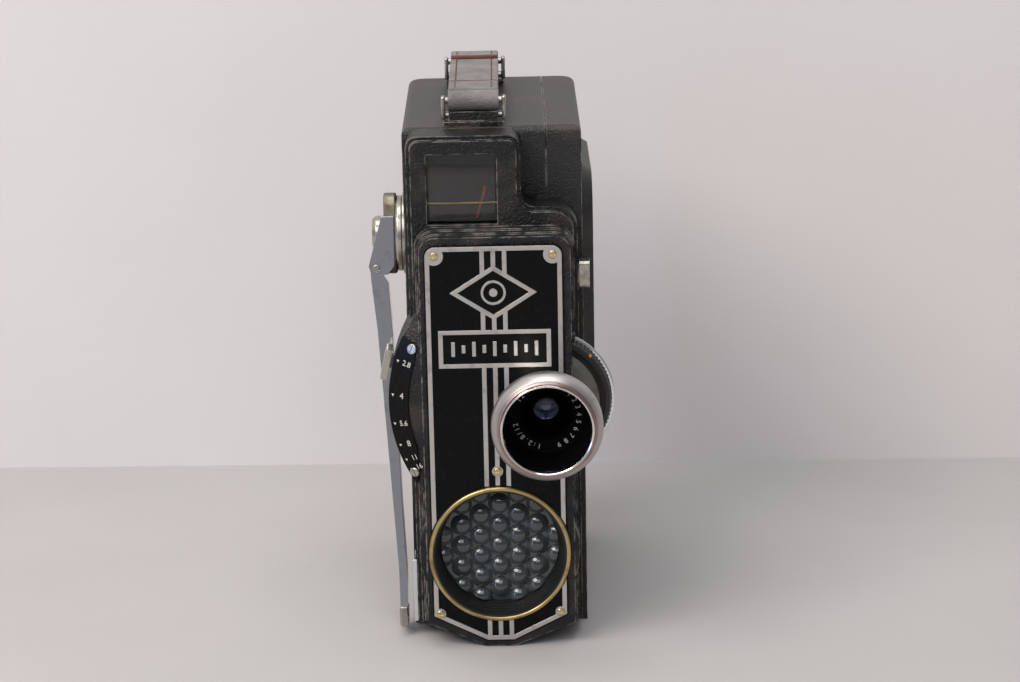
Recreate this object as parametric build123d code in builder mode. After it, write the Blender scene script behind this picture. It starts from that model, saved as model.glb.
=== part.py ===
from build123d import *

import os
from math import cos, pi, radians, sin, sqrt, tan, atan2, degrees

os.makedirs("parts", exist_ok=True)

# Frame: millimetres, +Z up, the front of the camera faces -Y. The origin is the mouth of the tripod
# bush, on the plane that the camera stands on.

# Case
CASE_HALF = 26.0            # half the width of the die-cast case
CASE_FRONT = 36.0           # front wall, in front of the bush
CASE_BACK = 44.0
CASE_HEIGHT = 152.5
WALL = 2.0
EDGE_ROUND = 2.0            # rounding along the top edges
REAR_ROUND = 5.0            # rounding of the rear upright edges
SEAM = 15.8                 # the door meets the case on this plane
SEAM_GAP = 0.15

# Front housing: a first tier, a platform on it and a boss round the light cell
TIER_LEFT, TIER_RIGHT = -24.7, 24.3
TIER_TOP = 131.2
TIER_FOOT = 4.4
TIER_STEP = 46.9            # the tier's outer ledge stops here
TIER_FRONT = 48.5
LEDGE = 1.2                 # width of the tier's ledge
PLATFORM_LEFT, PLATFORM_RIGHT = -21.5, 22.0
PLATFORM_TOP = 124.8
PLATFORM_FRONT = 56.5
PLATE_FRONT = 57.3          # face of the nameplate

# Finder
FINDER_RIGHT = 8.2
FINDER_TOP = 152.3
WINDOW_LOW = (-18.9, 126.7)
WINDOW_HIGH = (1.3, 147.3)

# Lens, shutter and aperture scale share one axis
LENS_X, LENS_Z = 14.2, 75.0
NECK_RADIUS = 9.5
TAIL_RADIUS = 8.0           # the barrel behind its seat
WHEEL_RADIUS = 19.5
SCALE_RADIUS = 45.4         # outer edge of the aperture scale's guard
APERTURE_REST = 13.0        # degrees above level at the widest stop

# Light cell
CELL_Z = 29.5
CELL_RADIUS = 20.8
LENSLET_PITCH = 6.5

# Winding lever, hub on the left wall; it lies tilted forwards
HUB_Y, HUB_Z = -18.0, 117.3
TILT = radians(12.3)
ARM_LENGTH = 118.0

# Clockwork: spur gears as (teeth, module), every axis along X except the shutter's
WIND_TEETH, ARBOR_TEETH = 24, 40
BARREL_TEETH, FIRST_PINION_TEETH = 42, 10
FIRST_WHEEL_TEETH, SECOND_PINION_TEETH = 50, 10
TAKEUP_TEETH = 14
CROWN_TEETH, SHUTTER_PINION_TEETH = 22, 10
COARSE, FINE = 1.0, 0.8     # gear modules

# Where the arbors stand, as (y, z)
WIND_AT = (HUB_Y, HUB_Z)
WIND_REACH = (WIND_TEETH + ARBOR_TEETH) / 2 * COARSE
BARREL_AT = (12.0, HUB_Z - sqrt(WIND_REACH**2 - (12.0 - HUB_Y) ** 2))
FIRST_AT = (BARREL_AT[0], BARREL_AT[1] - (BARREL_TEETH + FIRST_PINION_TEETH) / 2 * COARSE)
FINE_REACH = (FIRST_WHEEL_TEETH + SECOND_PINION_TEETH) / 2 * FINE
CROWN_AT = (FIRST_AT[0] - sqrt(FINE_REACH**2 - (FIRST_AT[1] - LENS_Z) ** 2), LENS_Z)
GOVERNOR_AT = (FIRST_AT[0] + FINE_REACH * cos(radians(-60)), FIRST_AT[1] + FINE_REACH * sin(radians(-60)))
TAKEUP_REACH = (BARREL_TEETH + TAKEUP_TEETH) / 2 * COARSE
TAKEUP_AT = (BARREL_AT[0] + TAKEUP_REACH * cos(radians(200)), BARREL_AT[1] + TAKEUP_REACH * sin(radians(200)))
SHUTTER_X = 0.8
PLATE_X = 7.5               # left face of the mechanism plate
PLATE_THICK = 1.5

# Door hinge, behind the seam
HINGE_Y = 45.8
HINGE_RADIUS = 1.6

# Strap
STRAP_X = -5.0
STRAP_WIDTH = 14.6
STRAP_THICK = 2.2

RUNNING = 0.05              # radial clearance of a running fit


def finish(builder, name):
    """Label a finished sub-part and write it to its own file."""
    builder.part.label = name
    export_step(builder.part, f"parts/{name}.step")


def block(low, high, mode=Mode.ADD):
    """Add or cut the box between two opposite corners."""
    with Locations(tuple((a + b) / 2 for a, b in zip(low, high))):
        Box(*(b - a for a, b in zip(low, high)), mode=mode)


def rod_x(at, radius, start, end, mode=Mode.ADD):
    """Add or cut a cylinder along X, centred on (y, z)."""
    with Locations(Location(((start + end) / 2, at[0], at[1]), (0, 90, 0))):
        Cylinder(radius, end - start, mode=mode)


def rod_y(at, radius, front, back, mode=Mode.ADD):
    """Add or cut a cylinder along Y, centred on (x, z), between two distances in front of the origin."""
    with Locations(Location((at[0], -(front + back) / 2, at[1]), (90, 0, 0))):
        Cylinder(radius, abs(front - back), mode=mode)


def rod_z(at, radius, low, high, mode=Mode.ADD):
    """Add or cut a cylinder along Z, centred on (x, y)."""
    with Locations((at[0], at[1], (low + high) / 2)):
        Cylinder(radius, high - low, mode=mode)


def turned(at, profile, angle=0.0, arc=360.0):
    """Revolve a closed profile of (radius, distance in front) about a Y axis through (x, z)."""
    start = Plane(
        origin=(at[0], 0, at[1]),
        x_dir=(-cos(radians(angle)), 0, sin(radians(angle))),
        z_dir=(sin(radians(angle)), 0, cos(radians(angle))),
    )
    with BuildSketch(start) as section:
        with BuildLine():
            Polyline(*profile, close=True)
        make_face()
    return revolve(section.sketch, Axis((at[0], 0, at[1]), (0, 1, 0)), arc, mode=Mode.PRIVATE)


def tooth(teeth, module):
    """Points of one tooth on the +x axis of a gear: a straight-sided stand-in for an involute."""
    pitch_radius = teeth * module / 2
    step = pi * module
    rows = (
        (pitch_radius - 1.4 * module, 0.27 * step),
        (pitch_radius, 0.20 * step),
        (pitch_radius + 0.85 * module, 0.09 * step),
    )
    lower = [(radius, -half) for radius, half in rows]
    upper = [(radius, half) for radius, half in reversed(rows)]
    return lower + upper


def gear(teeth, module, at, start, width, phase=0.0, bore=0.0):
    """A spur gear on an X axis through (y, z), its first tooth at the angle phase in degrees."""
    with BuildSketch(Plane(origin=(start, at[0], at[1]), x_dir=(0, 1, 0), z_dir=(1, 0, 0))) as face:
        Circle(teeth * module / 2 - 1.2 * module)
        with PolarLocations(0, teeth, start_angle=phase):
            Polygon(*tooth(teeth, module), align=None)
        if bore:
            Circle(bore, mode=Mode.SUBTRACT)
    return extrude(face.sketch, amount=width, mode=Mode.PRIVATE)


def meshed_phase(phase, teeth, at, other_at, other_teeth):
    """Phase in degrees that puts the second gear's gap on the first gear's tooth."""
    line = degrees(atan2(other_at[1] - at[1], other_at[0] - at[0]))
    past_tooth = ((line - phase) * teeth / 360) % 1
    return line + 180 - (0.5 - past_tooth) * 360 / other_teeth


def screw_head(radius, height, slot, recess=0.35):
    """A slotted cheese head standing on the local XY plane."""
    with BuildPart(mode=Mode.PRIVATE) as head:
        Cylinder(radius, height, align=(Align.CENTER, Align.CENTER, Align.MIN))
        chamfer(head.edges().group_by(Axis.Z)[-1], height * 0.3)
        with Locations((0, 0, height)):
            Box(3 * radius, slot, 2 * recess, mode=Mode.SUBTRACT)
    return head.part


# ---------------------------------------------------------------- case and door

with BuildPart() as body_case:
    block((-CASE_HALF, -CASE_FRONT, 0), (SEAM - SEAM_GAP, CASE_BACK, CASE_HEIGHT))
    rear_left = body_case.edges().filter_by(Axis.Z).group_by(Axis.X)[0].sort_by(Axis.Y)
    fillet(rear_left[-1], REAR_ROUND)
    top_edges = body_case.faces().sort_by(Axis.Z)[-1].edges().filter_by(
        lambda edge: edge.center().X < SEAM - 2 * SEAM_GAP
    )
    fillet(top_edges, EDGE_ROUND)
    block(
        (-CASE_HALF + WALL, -CASE_FRONT + WALL, WALL),
        (SEAM + 1, CASE_BACK - WALL, CASE_HEIGHT - WALL),
        Mode.SUBTRACT,
    )
    # Port for the shutter's shaft, the claw and the gate, and the finder's two openings
    block((-6, -CASE_FRONT - 1, 62), (SEAM + 1, -CASE_FRONT + WALL + 1, 88), Mode.SUBTRACT)
    block((-19.9, -CASE_FRONT - 1, 125.7), (2.3, -CASE_FRONT + WALL + 1, 148.3), Mode.SUBTRACT)
    rod_y((-8.8, 137.3), 4.0, -CASE_BACK - 1, -CASE_BACK + WALL + 1, Mode.SUBTRACT)
    rod_x(WIND_AT, 4.0 + RUNNING, -CASE_HALF - 1, -CASE_HALF + WALL + 1, Mode.SUBTRACT)
    rod_z((0, 0), 6.0, -1, WALL + 1, Mode.SUBTRACT)
finish(body_case, "body_case")

BUSH_BORE = 2.6             # minor radius of a quarter-inch thread
BUSH_DEPTH = 8.0
with BuildPart() as tripod_bush:
    rod_z((0, 0), 6.0, 0, WALL)
    rod_z((0, 0), 8.5, WALL, BUSH_DEPTH + 1.5)
    rod_z((0, 0), BUSH_BORE, -1, BUSH_DEPTH, Mode.SUBTRACT)
finish(tripod_bush, "tripod_bush")

DOOR_FRONT = CASE_FRONT - 0.2
LOCK_AT = (30.0, 16.0)      # the lock's axis, as (y, z)
BULGE_HIGH = 3.4
with BuildPart() as door:
    block((SEAM, -DOOR_FRONT, 0), (CASE_HALF, CASE_BACK, CASE_HEIGHT))
    right_edges = door.edges().filter_by(Axis.Z).group_by(Axis.X)[-1].sort_by(Axis.Y)
    fillet(right_edges[-1], REAR_ROUND)
    door_top = door.faces().sort_by(Axis.Z)[-1].edges()
    fillet(door_top.filter_by(lambda edge: edge.center().X > SEAM + SEAM_GAP), EDGE_ROUND)
    with BuildSketch(Plane.YZ.offset(CASE_HALF)):
        with Locations((4.5, 93.5)):
            RectangleRounded(66, 87, 14)
    extrude(amount=BULGE_HIGH, taper=32)
    block(
        (SEAM - 1, -DOOR_FRONT + WALL, WALL),
        (CASE_HALF - WALL, CASE_BACK - WALL, CASE_HEIGHT - WALL),
        Mode.SUBTRACT,
    )
    rod_x(LOCK_AT, 1.5 + RUNNING, CASE_HALF - WALL - 1, CASE_HALF + 1, Mode.SUBTRACT)
finish(door, "door")

KNUCKLES = (20.0, 45.0, 108.0, 133.0)   # heights where the hinge's knuckles change sides
with BuildPart() as hinge_leaf_case:
    for low, high in (KNUCKLES[:2], KNUCKLES[2:]):
        block((7.0, CASE_BACK, low), (SEAM - 0.5, CASE_BACK + 0.8, high))
        rod_z((SEAM, HINGE_Y), HINGE_RADIUS, low, high)
        rod_z((SEAM, HINGE_Y), 0.8, low - 1, high + 1, Mode.SUBTRACT)
finish(hinge_leaf_case, "hinge_leaf_case")

with BuildPart() as hinge_leaf_door:
    block((SEAM + 0.5, CASE_BACK, KNUCKLES[1] + 0.2), (21.0, CASE_BACK + 0.8, KNUCKLES[2] - 0.2))
    rod_z((SEAM, HINGE_Y), HINGE_RADIUS, KNUCKLES[1] + 0.2, KNUCKLES[2] - 0.2)
    rod_z((SEAM, HINGE_Y), 0.8, 0, 150, Mode.SUBTRACT)
finish(hinge_leaf_door, "hinge_leaf_door")

with BuildPart() as hinge_pin:
    rod_z((SEAM, HINGE_Y), 0.75, KNUCKLES[0], KNUCKLES[3])
finish(hinge_pin, "hinge_pin")

with BuildPart() as door_lock:
    # A flat head with a coin slot outside, and a latch inside
    rod_x(LOCK_AT, 5.0, CASE_HALF + 0.05, CASE_HALF + 0.9)
    block((CASE_HALF + 0.4, 24.0, 15.3), (CASE_HALF + 1.0, 36.0, 16.7), Mode.SUBTRACT)
    rod_x(LOCK_AT, 1.5, 19.0, CASE_HALF + 0.1)
    block((20.0, 28.0, 8.0), (21.2, 32.0, 18.2))
finish(door_lock, "door_lock")

# ---------------------------------------------------------------- front housing

GUARD_INSIDE = SCALE_RADIUS - 2.0
guard_edge = [(SCALE_RADIUS, CASE_FRONT), (SCALE_RADIUS, 51.8), (39.7, 55.0), (35.3, 56.2)]
scale_guard = turned((LENS_X, LENS_Z), [(30, CASE_FRONT), *guard_edge, (30, 56.2)])
guard_hollow = turned((LENS_X, LENS_Z), [(30, 35.0), (GUARD_INSIDE, 35.0), (GUARD_INSIDE, 49.5), (30, 49.5)])
lever_slot = turned((LENS_X, LENS_Z), [(41.8, 43.2), (46.8, 43.2), (46.8, 45.8), (41.8, 45.8)], -34.5, 52.5)
LEFT_ONLY = Pos(-40.0, -46, 75) * Box(40, 40, 120)      # the guard's side of x = -20
seat_ring = turned(
    (LENS_X, LENS_Z),
    [(TAIL_RADIUS, 47.5), (21.9, 47.5), (21.9, 55.4), (20.6, 55.4), (20.6, 49.6), (TAIL_RADIUS, 49.6)],
)
SEAT_SIDE = Pos(1.0, -50, 75) * Box(44, 20, 60)         # the seat stops inside x = 23

# Outline of the first tier in (x, z): the finder block flows down into the right shoulder
with BuildSketch() as tier_shape:
    with BuildLine():
        Polyline(
            (TIER_LEFT, TIER_FOOT),
            (TIER_LEFT, FINDER_TOP),
            (FINDER_RIGHT, FINDER_TOP),
            (FINDER_RIGHT, TIER_TOP),
            (TIER_RIGHT, TIER_TOP),
            (TIER_RIGHT, TIER_FOOT),
            close=True,
        )
    make_face()
    for corner, radius in (
        ((TIER_LEFT, FINDER_TOP), 3.5),
        ((FINDER_RIGHT, FINDER_TOP), 3.5),
        ((FINDER_RIGHT, TIER_TOP), 4.0),
        ((TIER_RIGHT, TIER_TOP), 7.0),
    ):
        fillet(tier_shape.vertices().sort_by_distance((*corner, 0))[0], radius)

# Outline of the platform's face: rounded above, a shallow V at the foot
with BuildSketch() as platform_shape:
    with BuildLine():
        Polyline(
            (PLATFORM_LEFT, 7.6),
            (PLATFORM_LEFT, PLATFORM_TOP),
            (PLATFORM_RIGHT, PLATFORM_TOP),
            (PLATFORM_RIGHT, 7.2),
            (4.1, 0.2),
            (-4.1, 0.2),
            close=True,
        )
    make_face()
    for corner in ((PLATFORM_LEFT, PLATFORM_TOP), (PLATFORM_RIGHT, PLATFORM_TOP)):
        fillet(platform_shape.vertices().sort_by_distance((*corner, 0))[0], 4.6)

with BuildPart() as front_casting:
    with BuildSketch(Plane.XZ.offset(CASE_FRONT)):
        add(tier_shape.sketch)
    extrude(amount=TIER_STEP - CASE_FRONT)
    with BuildSketch(Plane.XZ.offset(TIER_STEP)):
        add(offset(tier_shape.sketch, -LEDGE))
    extrude(amount=TIER_FRONT - TIER_STEP)
    # The platform comes forward in three steps, each smaller than the one behind it
    for start, end, grow in ((TIER_FRONT, 51.2, 1.2), (51.2, 53.8, 0.6), (53.8, PLATFORM_FRONT, 0)):
        with BuildSketch(Plane.XZ.offset(start)):
            add(platform_shape.sketch)
            if grow:
                offset(amount=grow, kind=Kind.INTERSECTION)
        extrude(amount=end - start)
    block((-30, -60, -5), (30, -CASE_FRONT, 0.2), Mode.SUBTRACT)
    add(scale_guard & LEFT_ONLY)
    rod_y((0, CELL_Z), 23.6, CASE_FRONT, 56.0)
    # Hollow behind the face
    block((-22.7, -45.4, TIER_FOOT + WALL), (22.3, -CASE_FRONT + 1, 123.5), Mode.SUBTRACT)
    block((-20.0, -54.5, 9.0), (19.9, -45.3, 121.6), Mode.SUBTRACT)
    add(guard_hollow & LEFT_ONLY, mode=Mode.SUBTRACT)
    add(lever_slot, mode=Mode.SUBTRACT)
    # Seat for the lens and pocket for the setting wheel
    add(seat_ring & SEAT_SIDE)
    rod_y((LENS_X, LENS_Z), 20.6, 55.3, 49.6, Mode.SUBTRACT)
    rod_y((LENS_X, LENS_Z), NECK_RADIUS + 0.5, 57.5, 55.0, Mode.SUBTRACT)
    rod_y((LENS_X, LENS_Z), 9.2, 47.5, 37.0, Mode.SUBTRACT)
    rod_y((LENS_X, LENS_Z), TAIL_RADIUS, 50.0, 47.0, Mode.SUBTRACT)
    # Light cell
    rod_y((0, CELL_Z), 19.1, 57.0, 50.0, Mode.SUBTRACT)
    # Finder opening, the seat of its tunnel, and the slot for the meter's needle
    block(
        (WINDOW_LOW[0], -TIER_FRONT - 1, WINDOW_LOW[1]),
        (WINDOW_HIGH[0], -CASE_FRONT + 1, WINDOW_HIGH[1]),
        Mode.SUBTRACT,
    )
    block((-19.6, -47.3, 126.0), (2.0, -CASE_FRONT + 1, 148.0), Mode.SUBTRACT)
    block((-15.5, -40.0, 122.0), (1.5, -37.4, 126.5), Mode.SUBTRACT)
    # Slot in the right side for the release
    block((21.5, -40.9, 100.9), (25.0, -38.7, 112.6), Mode.SUBTRACT)
    block((19.0, -41.5, 98.0), (22.4, -38.0, 99.0))
finish(front_casting, "front_casting")

with BuildPart() as shoulder_screw:
    rod_y((11.0, 133.6), 1.8, 37.2, CASE_FRONT)
    block((9.0, -37.4, 133.35), (13.0, -36.8, 133.85), Mode.SUBTRACT)
finish(shoulder_screw, "shoulder_screw")

# ---------------------------------------------------------------- nameplate

PLATE_LEFT, PLATE_RIGHT, PLATE_TOP = -20.1, 19.8, 122.7
BAND = 1.3                  # width of the bright lines
LINE_HIGH = 0.2
PLATE_ROUND = 3.2           # radius of the plate's upper corners
PLATE_SCREWS = ((-17.1, 119.7), (16.8, 119.7), (-0.2, 54.9), (-17.9, 10.9), (17.6, 10.9))


def diamond(half_wide, half_high):
    """The diamond frame's corners."""
    x, z = -0.3, 108.7
    return ((x - half_wide, z), (x, z + half_high), (x + half_wide, z), (x, z - half_high))


# The plate's outline in (x, z), and the same moved in to both sides of its bright border
with BuildSketch() as plate_shape:
    with BuildLine():
        Polyline(
            (PLATE_LEFT, 10.0),
            (PLATE_LEFT, PLATE_TOP),
            (PLATE_RIGHT, PLATE_TOP),
            (PLATE_RIGHT, 10.0),
            (3.9, 2.1),
            (-4.1, 2.1),
            close=True,
        )
    make_face()
    for corner in ((PLATE_LEFT, PLATE_TOP), (PLATE_RIGHT, PLATE_TOP)):
        fillet(plate_shape.vertices().sort_by_distance((*corner, 0))[0], PLATE_ROUND)
border_outside = offset(plate_shape.sketch, -0.4, kind=Kind.INTERSECTION)
border_inside = offset(plate_shape.sketch, -0.4 - BAND, kind=Kind.INTERSECTION)

with BuildPart() as nameplate:
    with BuildSketch(Plane.XZ.offset(PLATFORM_FRONT)):
        add(plate_shape.sketch)
        with Locations((LENS_X, LENS_Z)):
            Circle(NECK_RADIUS + 0.6, mode=Mode.SUBTRACT)
        with Locations((0, CELL_Z)):
            Circle(19.15, mode=Mode.SUBTRACT)
    extrude(amount=PLATE_FRONT - PLATFORM_FRONT)
    # Raised bright lines: border, three uprights, diamond and rectangle
    with BuildSketch(Plane.XZ.offset(PLATE_FRONT)):
        add(border_outside)
        add(border_inside, mode=Mode.SUBTRACT)
        for x in (-3.4, -0.2, 3.0):
            with Locations((x, 62)):
                Rectangle(BAND, 119)
        with BuildLine():
            Polyline(*diamond(12.5, 8.0), close=True)
        make_face()
        with BuildLine():
            Polyline(*diamond(10.3, 6.5), close=True)
        make_face(mode=Mode.SUBTRACT)
        with Locations((-0.2, 92.0)):
            Rectangle(32.4, 11.2)
            Rectangle(29.8, 8.8, mode=Mode.SUBTRACT)
        for x, z in PLATE_SCREWS:
            with Locations((x, z)):
                Circle(2.7 if z > 100 else 1.6)
        add(border_outside, mode=Mode.INTERSECT)
        with Locations((LENS_X, LENS_Z)):
            Circle(NECK_RADIUS + 1.0, mode=Mode.SUBTRACT)
        with Locations((0, CELL_Z)):
            Circle(CELL_RADIUS + 0.3, mode=Mode.SUBTRACT)
    extrude(amount=LINE_HIGH)
finish(nameplate, "nameplate")

with BuildPart() as nameplate_screws:
    for x, z in PLATE_SCREWS:
        with Locations(Location((x, -PLATE_FRONT - LINE_HIGH, z), (90, 0, 0))):
            add(screw_head(1.2, 0.6, 0.3, 0.2))
finish(nameplate_screws, "nameplate_screws")

# ---------------------------------------------------------------- light cell and meter

with BuildPart() as cell_ring:
    section = [(19.55, 57.3), (CELL_RADIUS, 57.3), (CELL_RADIUS, 58.2), (20.4, 58.6), (19.55, 58.6)]
    add(turned((0, CELL_Z), section))
finish(cell_ring, "cell_ring")

with BuildPart() as cell_recess:
    flange = [(19.0, 57.35), (19.5, 57.35), (19.5, 58.3), (19.0, 58.3)]
    add(turned((0, CELL_Z), [(17.4, 49.8), (19.0, 49.8), *flange, (17.4, 50.6)]))
finish(cell_recess, "cell_recess")

with BuildPart() as cell_glass:
    rod_y((0, CELL_Z), 18.6, 49.6, 47.4)
    rod_y((0, CELL_Z), 17.3, 50.4, 49.5)
    for column in range(-2, 3):
        for row in range(-3, 4):
            x = column * LENSLET_PITCH * cos(radians(30))
            z = (row + 0.5 * (column % 2)) * LENSLET_PITCH
            if sqrt(x**2 + z**2) < 14.4:
                with Locations((x, -48.2, CELL_Z + z)):
                    Sphere(3.7)
    rod_y((0, CELL_Z), 20.0, 47.4, 43.0, Mode.SUBTRACT)
finish(cell_glass, "cell_glass")

with BuildPart() as selenium_cell:
    rod_y((0, CELL_Z), 18.2, 47.2, 46.1)
finish(selenium_cell, "selenium_cell")

METER_AT = (-8.4, 113.8)
NEEDLE_LEAN = 15.3
with BuildPart() as meter_housing:
    rod_y(METER_AT, 7.4, 46.2, 40.4)
    rod_y(METER_AT, 5.2, 41.5, 40.2, Mode.SUBTRACT)
finish(meter_housing, "meter_housing")

needle_plane = Plane(
    origin=(METER_AT[0], 0, METER_AT[1]),
    x_dir=(cos(radians(NEEDLE_LEAN)), 0, -sin(radians(NEEDLE_LEAN))),
    z_dir=(0, -1, 0),
)
with BuildPart() as meter_needle:
    with BuildSketch(needle_plane.offset(38.3)):
        with Locations((0, 11.0)):
            Rectangle(0.6, 23.0)
        Circle(1.6)
    extrude(amount=0.5)
    rod_y(METER_AT, 1.2, 41.2, 38.4)
finish(meter_needle, "meter_needle")

# ---------------------------------------------------------------- finder

TUNNEL_FRONT = (-19.4, 2.0 - 0.2, 126.2, 147.8)     # x low, x high, z low, z high
TUNNEL_REAR = (-13.4, -4.2, 132.7, 141.9)


def tunnel_face(grow, corners):
    """A rectangle of the tunnel's section, grown all round."""
    x_low, x_high, z_low, z_high = corners
    with Locations(((x_low + x_high) / 2, (z_low + z_high) / 2)):
        Rectangle(x_high - x_low + 2 * grow, z_high - z_low + 2 * grow)


with BuildPart() as finder_tunnel:
    with BuildSketch(Plane.XZ.offset(44.4)):
        tunnel_face(0, TUNNEL_FRONT)
    with BuildSketch(Plane.XZ.offset(-CASE_BACK + WALL + 0.2)):
        tunnel_face(0, TUNNEL_REAR)
    loft(ruled=True)
    with BuildSketch(Plane.XZ.offset(44.5)):
        tunnel_face(-0.5, TUNNEL_FRONT)
    with BuildSketch(Plane.XZ.offset(-CASE_BACK + WALL + 0.1)):
        tunnel_face(-0.5, TUNNEL_REAR)
    loft(ruled=True, mode=Mode.SUBTRACT)
    block((-15.2, -39.8, 125.0), (1.2, -37.6, 129.5), Mode.SUBTRACT)
    # Index wire across the view
    block((-19.0, -43.2, 131.9), (1.4, -42.7, 132.4))
finish(finder_tunnel, "finder_tunnel")

with BuildPart() as finder_glasses:
    block((-19.4, -46.8, 126.2), (1.8, -45.0, 147.8))
    rod_y((-8.8, 137.3), 3.9, -42.3, -43.9)
finish(finder_glasses, "finder_glasses")

with BuildPart() as finder_eyepiece:
    cup = [(2.6, -44.0), (6.2, -44.0), (6.2, -45.2), (5.2, -46.0), (3.4, -46.0), (2.6, -45.0)]
    add(turned((-8.8, 137.3), cup))
finish(finder_eyepiece, "finder_eyepiece")

# ---------------------------------------------------------------- lens

LENS_AT = (LENS_X, LENS_Z)
with BuildPart() as lens_barrel:
    add(
        turned(
            LENS_AT,
            [
                (4.45, 46.0), (TAIL_RADIUS, 46.0), (TAIL_RADIUS, 49.6), (NECK_RADIUS, 49.6),
                (NECK_RADIUS, 57.8), (10.6, 61.0), (12.4, 67.5), (13.5, 71.5), (15.9, 76.6), (15.9, 79.4),
                (15.0, 81.4), (13.4, 83.0), (12.8, 82.9), (12.5, 79.0), (11.5, 71.0), (11.3, 68.0),
                (7.6, 68.0), (7.6, 58.9), (4.45, 58.9),
            ],
        )
    )
finish(lens_barrel, "lens_barrel")

with BuildPart() as lens_hood:
    # The front ring, its cone down to the glass, and the black lining of the flare
    add(
        turned(
            LENS_AT,
            [
                (3.7, 59.0), (7.55, 59.0), (7.55, 68.05), (11.25, 68.05), (11.45, 71.0), (12.45, 79.0),
                (12.6, 80.6), (12.2, 80.6), (11.0, 71.0), (10.9, 68.6), (7.3, 68.6),
            ],
        )
    )
finish(lens_hood, "lens_hood")

with BuildPart() as lens_elements:
    for near, far in ((58.8, 56.2), (51.8, 50.2), (49.4, 46.6)):
        rod_y(LENS_AT, 4.4, near, far)
finish(lens_elements, "lens_elements")

with BuildPart() as iris_blades:
    with BuildSketch(Plane.XZ.offset(53.6)):
        with Locations(LENS_AT):
            with PolarLocations(3.0, 6):
                RectangleRounded(1.6, 2.6, 0.5)
    extrude(amount=0.6)
finish(iris_blades, "iris_blades")

WHEEL_BACK, WHEEL_FRONT = 50.0, 55.0
with BuildPart() as setting_wheel:
    add(
        turned(
            LENS_AT,
            [
                (9.9, 51.2), (WHEEL_RADIUS, 51.2), (WHEEL_RADIUS, 53.4), (WHEEL_RADIUS - 0.6, 54.2),
                (17.4, 54.2), (17.2, 53.4), (16.7, 53.4), (16.5, 54.6), (15.9, 54.6),
                (15.6, WHEEL_FRONT), (9.9, WHEEL_FRONT),
            ],
        )
    )
finish(setting_wheel, "setting_wheel")

with BuildPart() as wheel_rim:
    add(turned(LENS_AT, [(13.0, WHEEL_BACK), (20.2, WHEEL_BACK), (20.3, 50.8), (19.9, 51.2), (13.0, 51.2)]))
finish(wheel_rim, "wheel_rim")

# ---------------------------------------------------------------- aperture scale and lever

SCALE_SIDE = Pos(-43.4, -54, 75) * Box(40, 40, 120)     # the scale stays clear of the platform's side
with BuildPart() as scale_plate:
    add(turned(LENS_AT, [(39.7, 55.05), (45.4, 51.85), (45.6, 52.2), (39.9, 55.4)], -33.0, 59.0) & SCALE_SIDE)
finish(scale_plate, "scale_plate")

BEVEL = degrees(atan2(3.2, 5.7))     # slope of the scale's cone
with BuildPart() as scale_screws:
    for angle, reach in ((23.5, 41.7), (-28.6, 43.8)):
        depth = 52.45 + (SCALE_RADIUS - reach) * tan(radians(BEVEL))
        outwards = (-cos(radians(angle)), sin(radians(angle)))      # away from the lens, in (x, z)
        lean = sin(radians(BEVEL))
        with Locations(
            Plane(
                origin=(LENS_X + reach * outwards[0], -depth, LENS_Z + reach * outwards[1]),
                x_dir=(outwards[1], 0, -outwards[0]),
                z_dir=(outwards[0] * lean, -cos(radians(BEVEL)), outwards[1] * lean),
            )
        ):
            add(screw_head(1.5, 0.7, 0.35, 0.25))
finish(scale_screws, "scale_screws")

lever_plane = Plane(
    origin=(LENS_X, 0, LENS_Z),
    x_dir=(-cos(radians(APERTURE_REST)), 0, sin(radians(APERTURE_REST))),
    z_dir=(0, -1, 0),
)
with BuildPart() as aperture_lever:
    with BuildSketch(lever_plane.offset(43.6)):
        Circle(8.9)
        with Locations((26.9, 0)):
            Rectangle(38.8, 4.0)
        Circle(7.1, mode=Mode.SUBTRACT)
    extrude(amount=1.6)
    add(turned(LENS_AT, [(7.1, 40.0), (8.9, 40.0), (8.9, 43.7), (7.1, 43.7)]))
finish(aperture_lever, "aperture_lever")

with BuildPart() as aperture_tab:
    with BuildSketch(lever_plane.offset(43.2)):
        with Locations((47.3, 0)):
            RectangleRounded(2.0, 9.2, 0.6)
        with PolarLocations(48.7, 13, start_angle=-5.4, angular_range=10.8):
            Circle(0.35, mode=Mode.SUBTRACT)
    extrude(amount=6.6)
finish(aperture_tab, "aperture_tab")

# ---------------------------------------------------------------- winding lever

crank_plane = Plane(origin=(0, HUB_Y, HUB_Z), x_dir=(1, 0, 0), z_dir=(0, -cos(TILT), sin(TILT)))
HUB_AT = (HUB_Y, HUB_Z)
FOLD_X, FOLD_DROP = -34.9, 10.2      # the arm's pin, in the lever's own plane

with BuildPart() as crank_escutcheon:
    rod_x(HUB_AT, 12.0, -CASE_HALF - 0.9, -CASE_HALF)
    rod_x(HUB_AT, 4.0 + RUNNING, -CASE_HALF - 1, -CASE_HALF + 1, Mode.SUBTRACT)
finish(crank_escutcheon, "crank_escutcheon")

with BuildPart() as crank_hub:
    rod_x(HUB_AT, 11.3, -28.9, -27.1)
    chamfer(crank_hub.edges().filter_by(GeomType.CIRCLE).group_by(Axis.X)[0], 0.5)
    rod_x(HUB_AT, 4.0, -27.2, -19.8)
finish(crank_hub, "crank_hub")

with BuildPart() as crank_head:
    with BuildSketch(crank_plane):
        with Locations((-30.7, 0)):
            Rectangle(3.6, 24.0)
    extrude(amount=6.0, both=True)
    fillet(crank_head.edges().filter_by(Axis.X), 4.0)
finish(crank_head, "crank_head")

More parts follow.
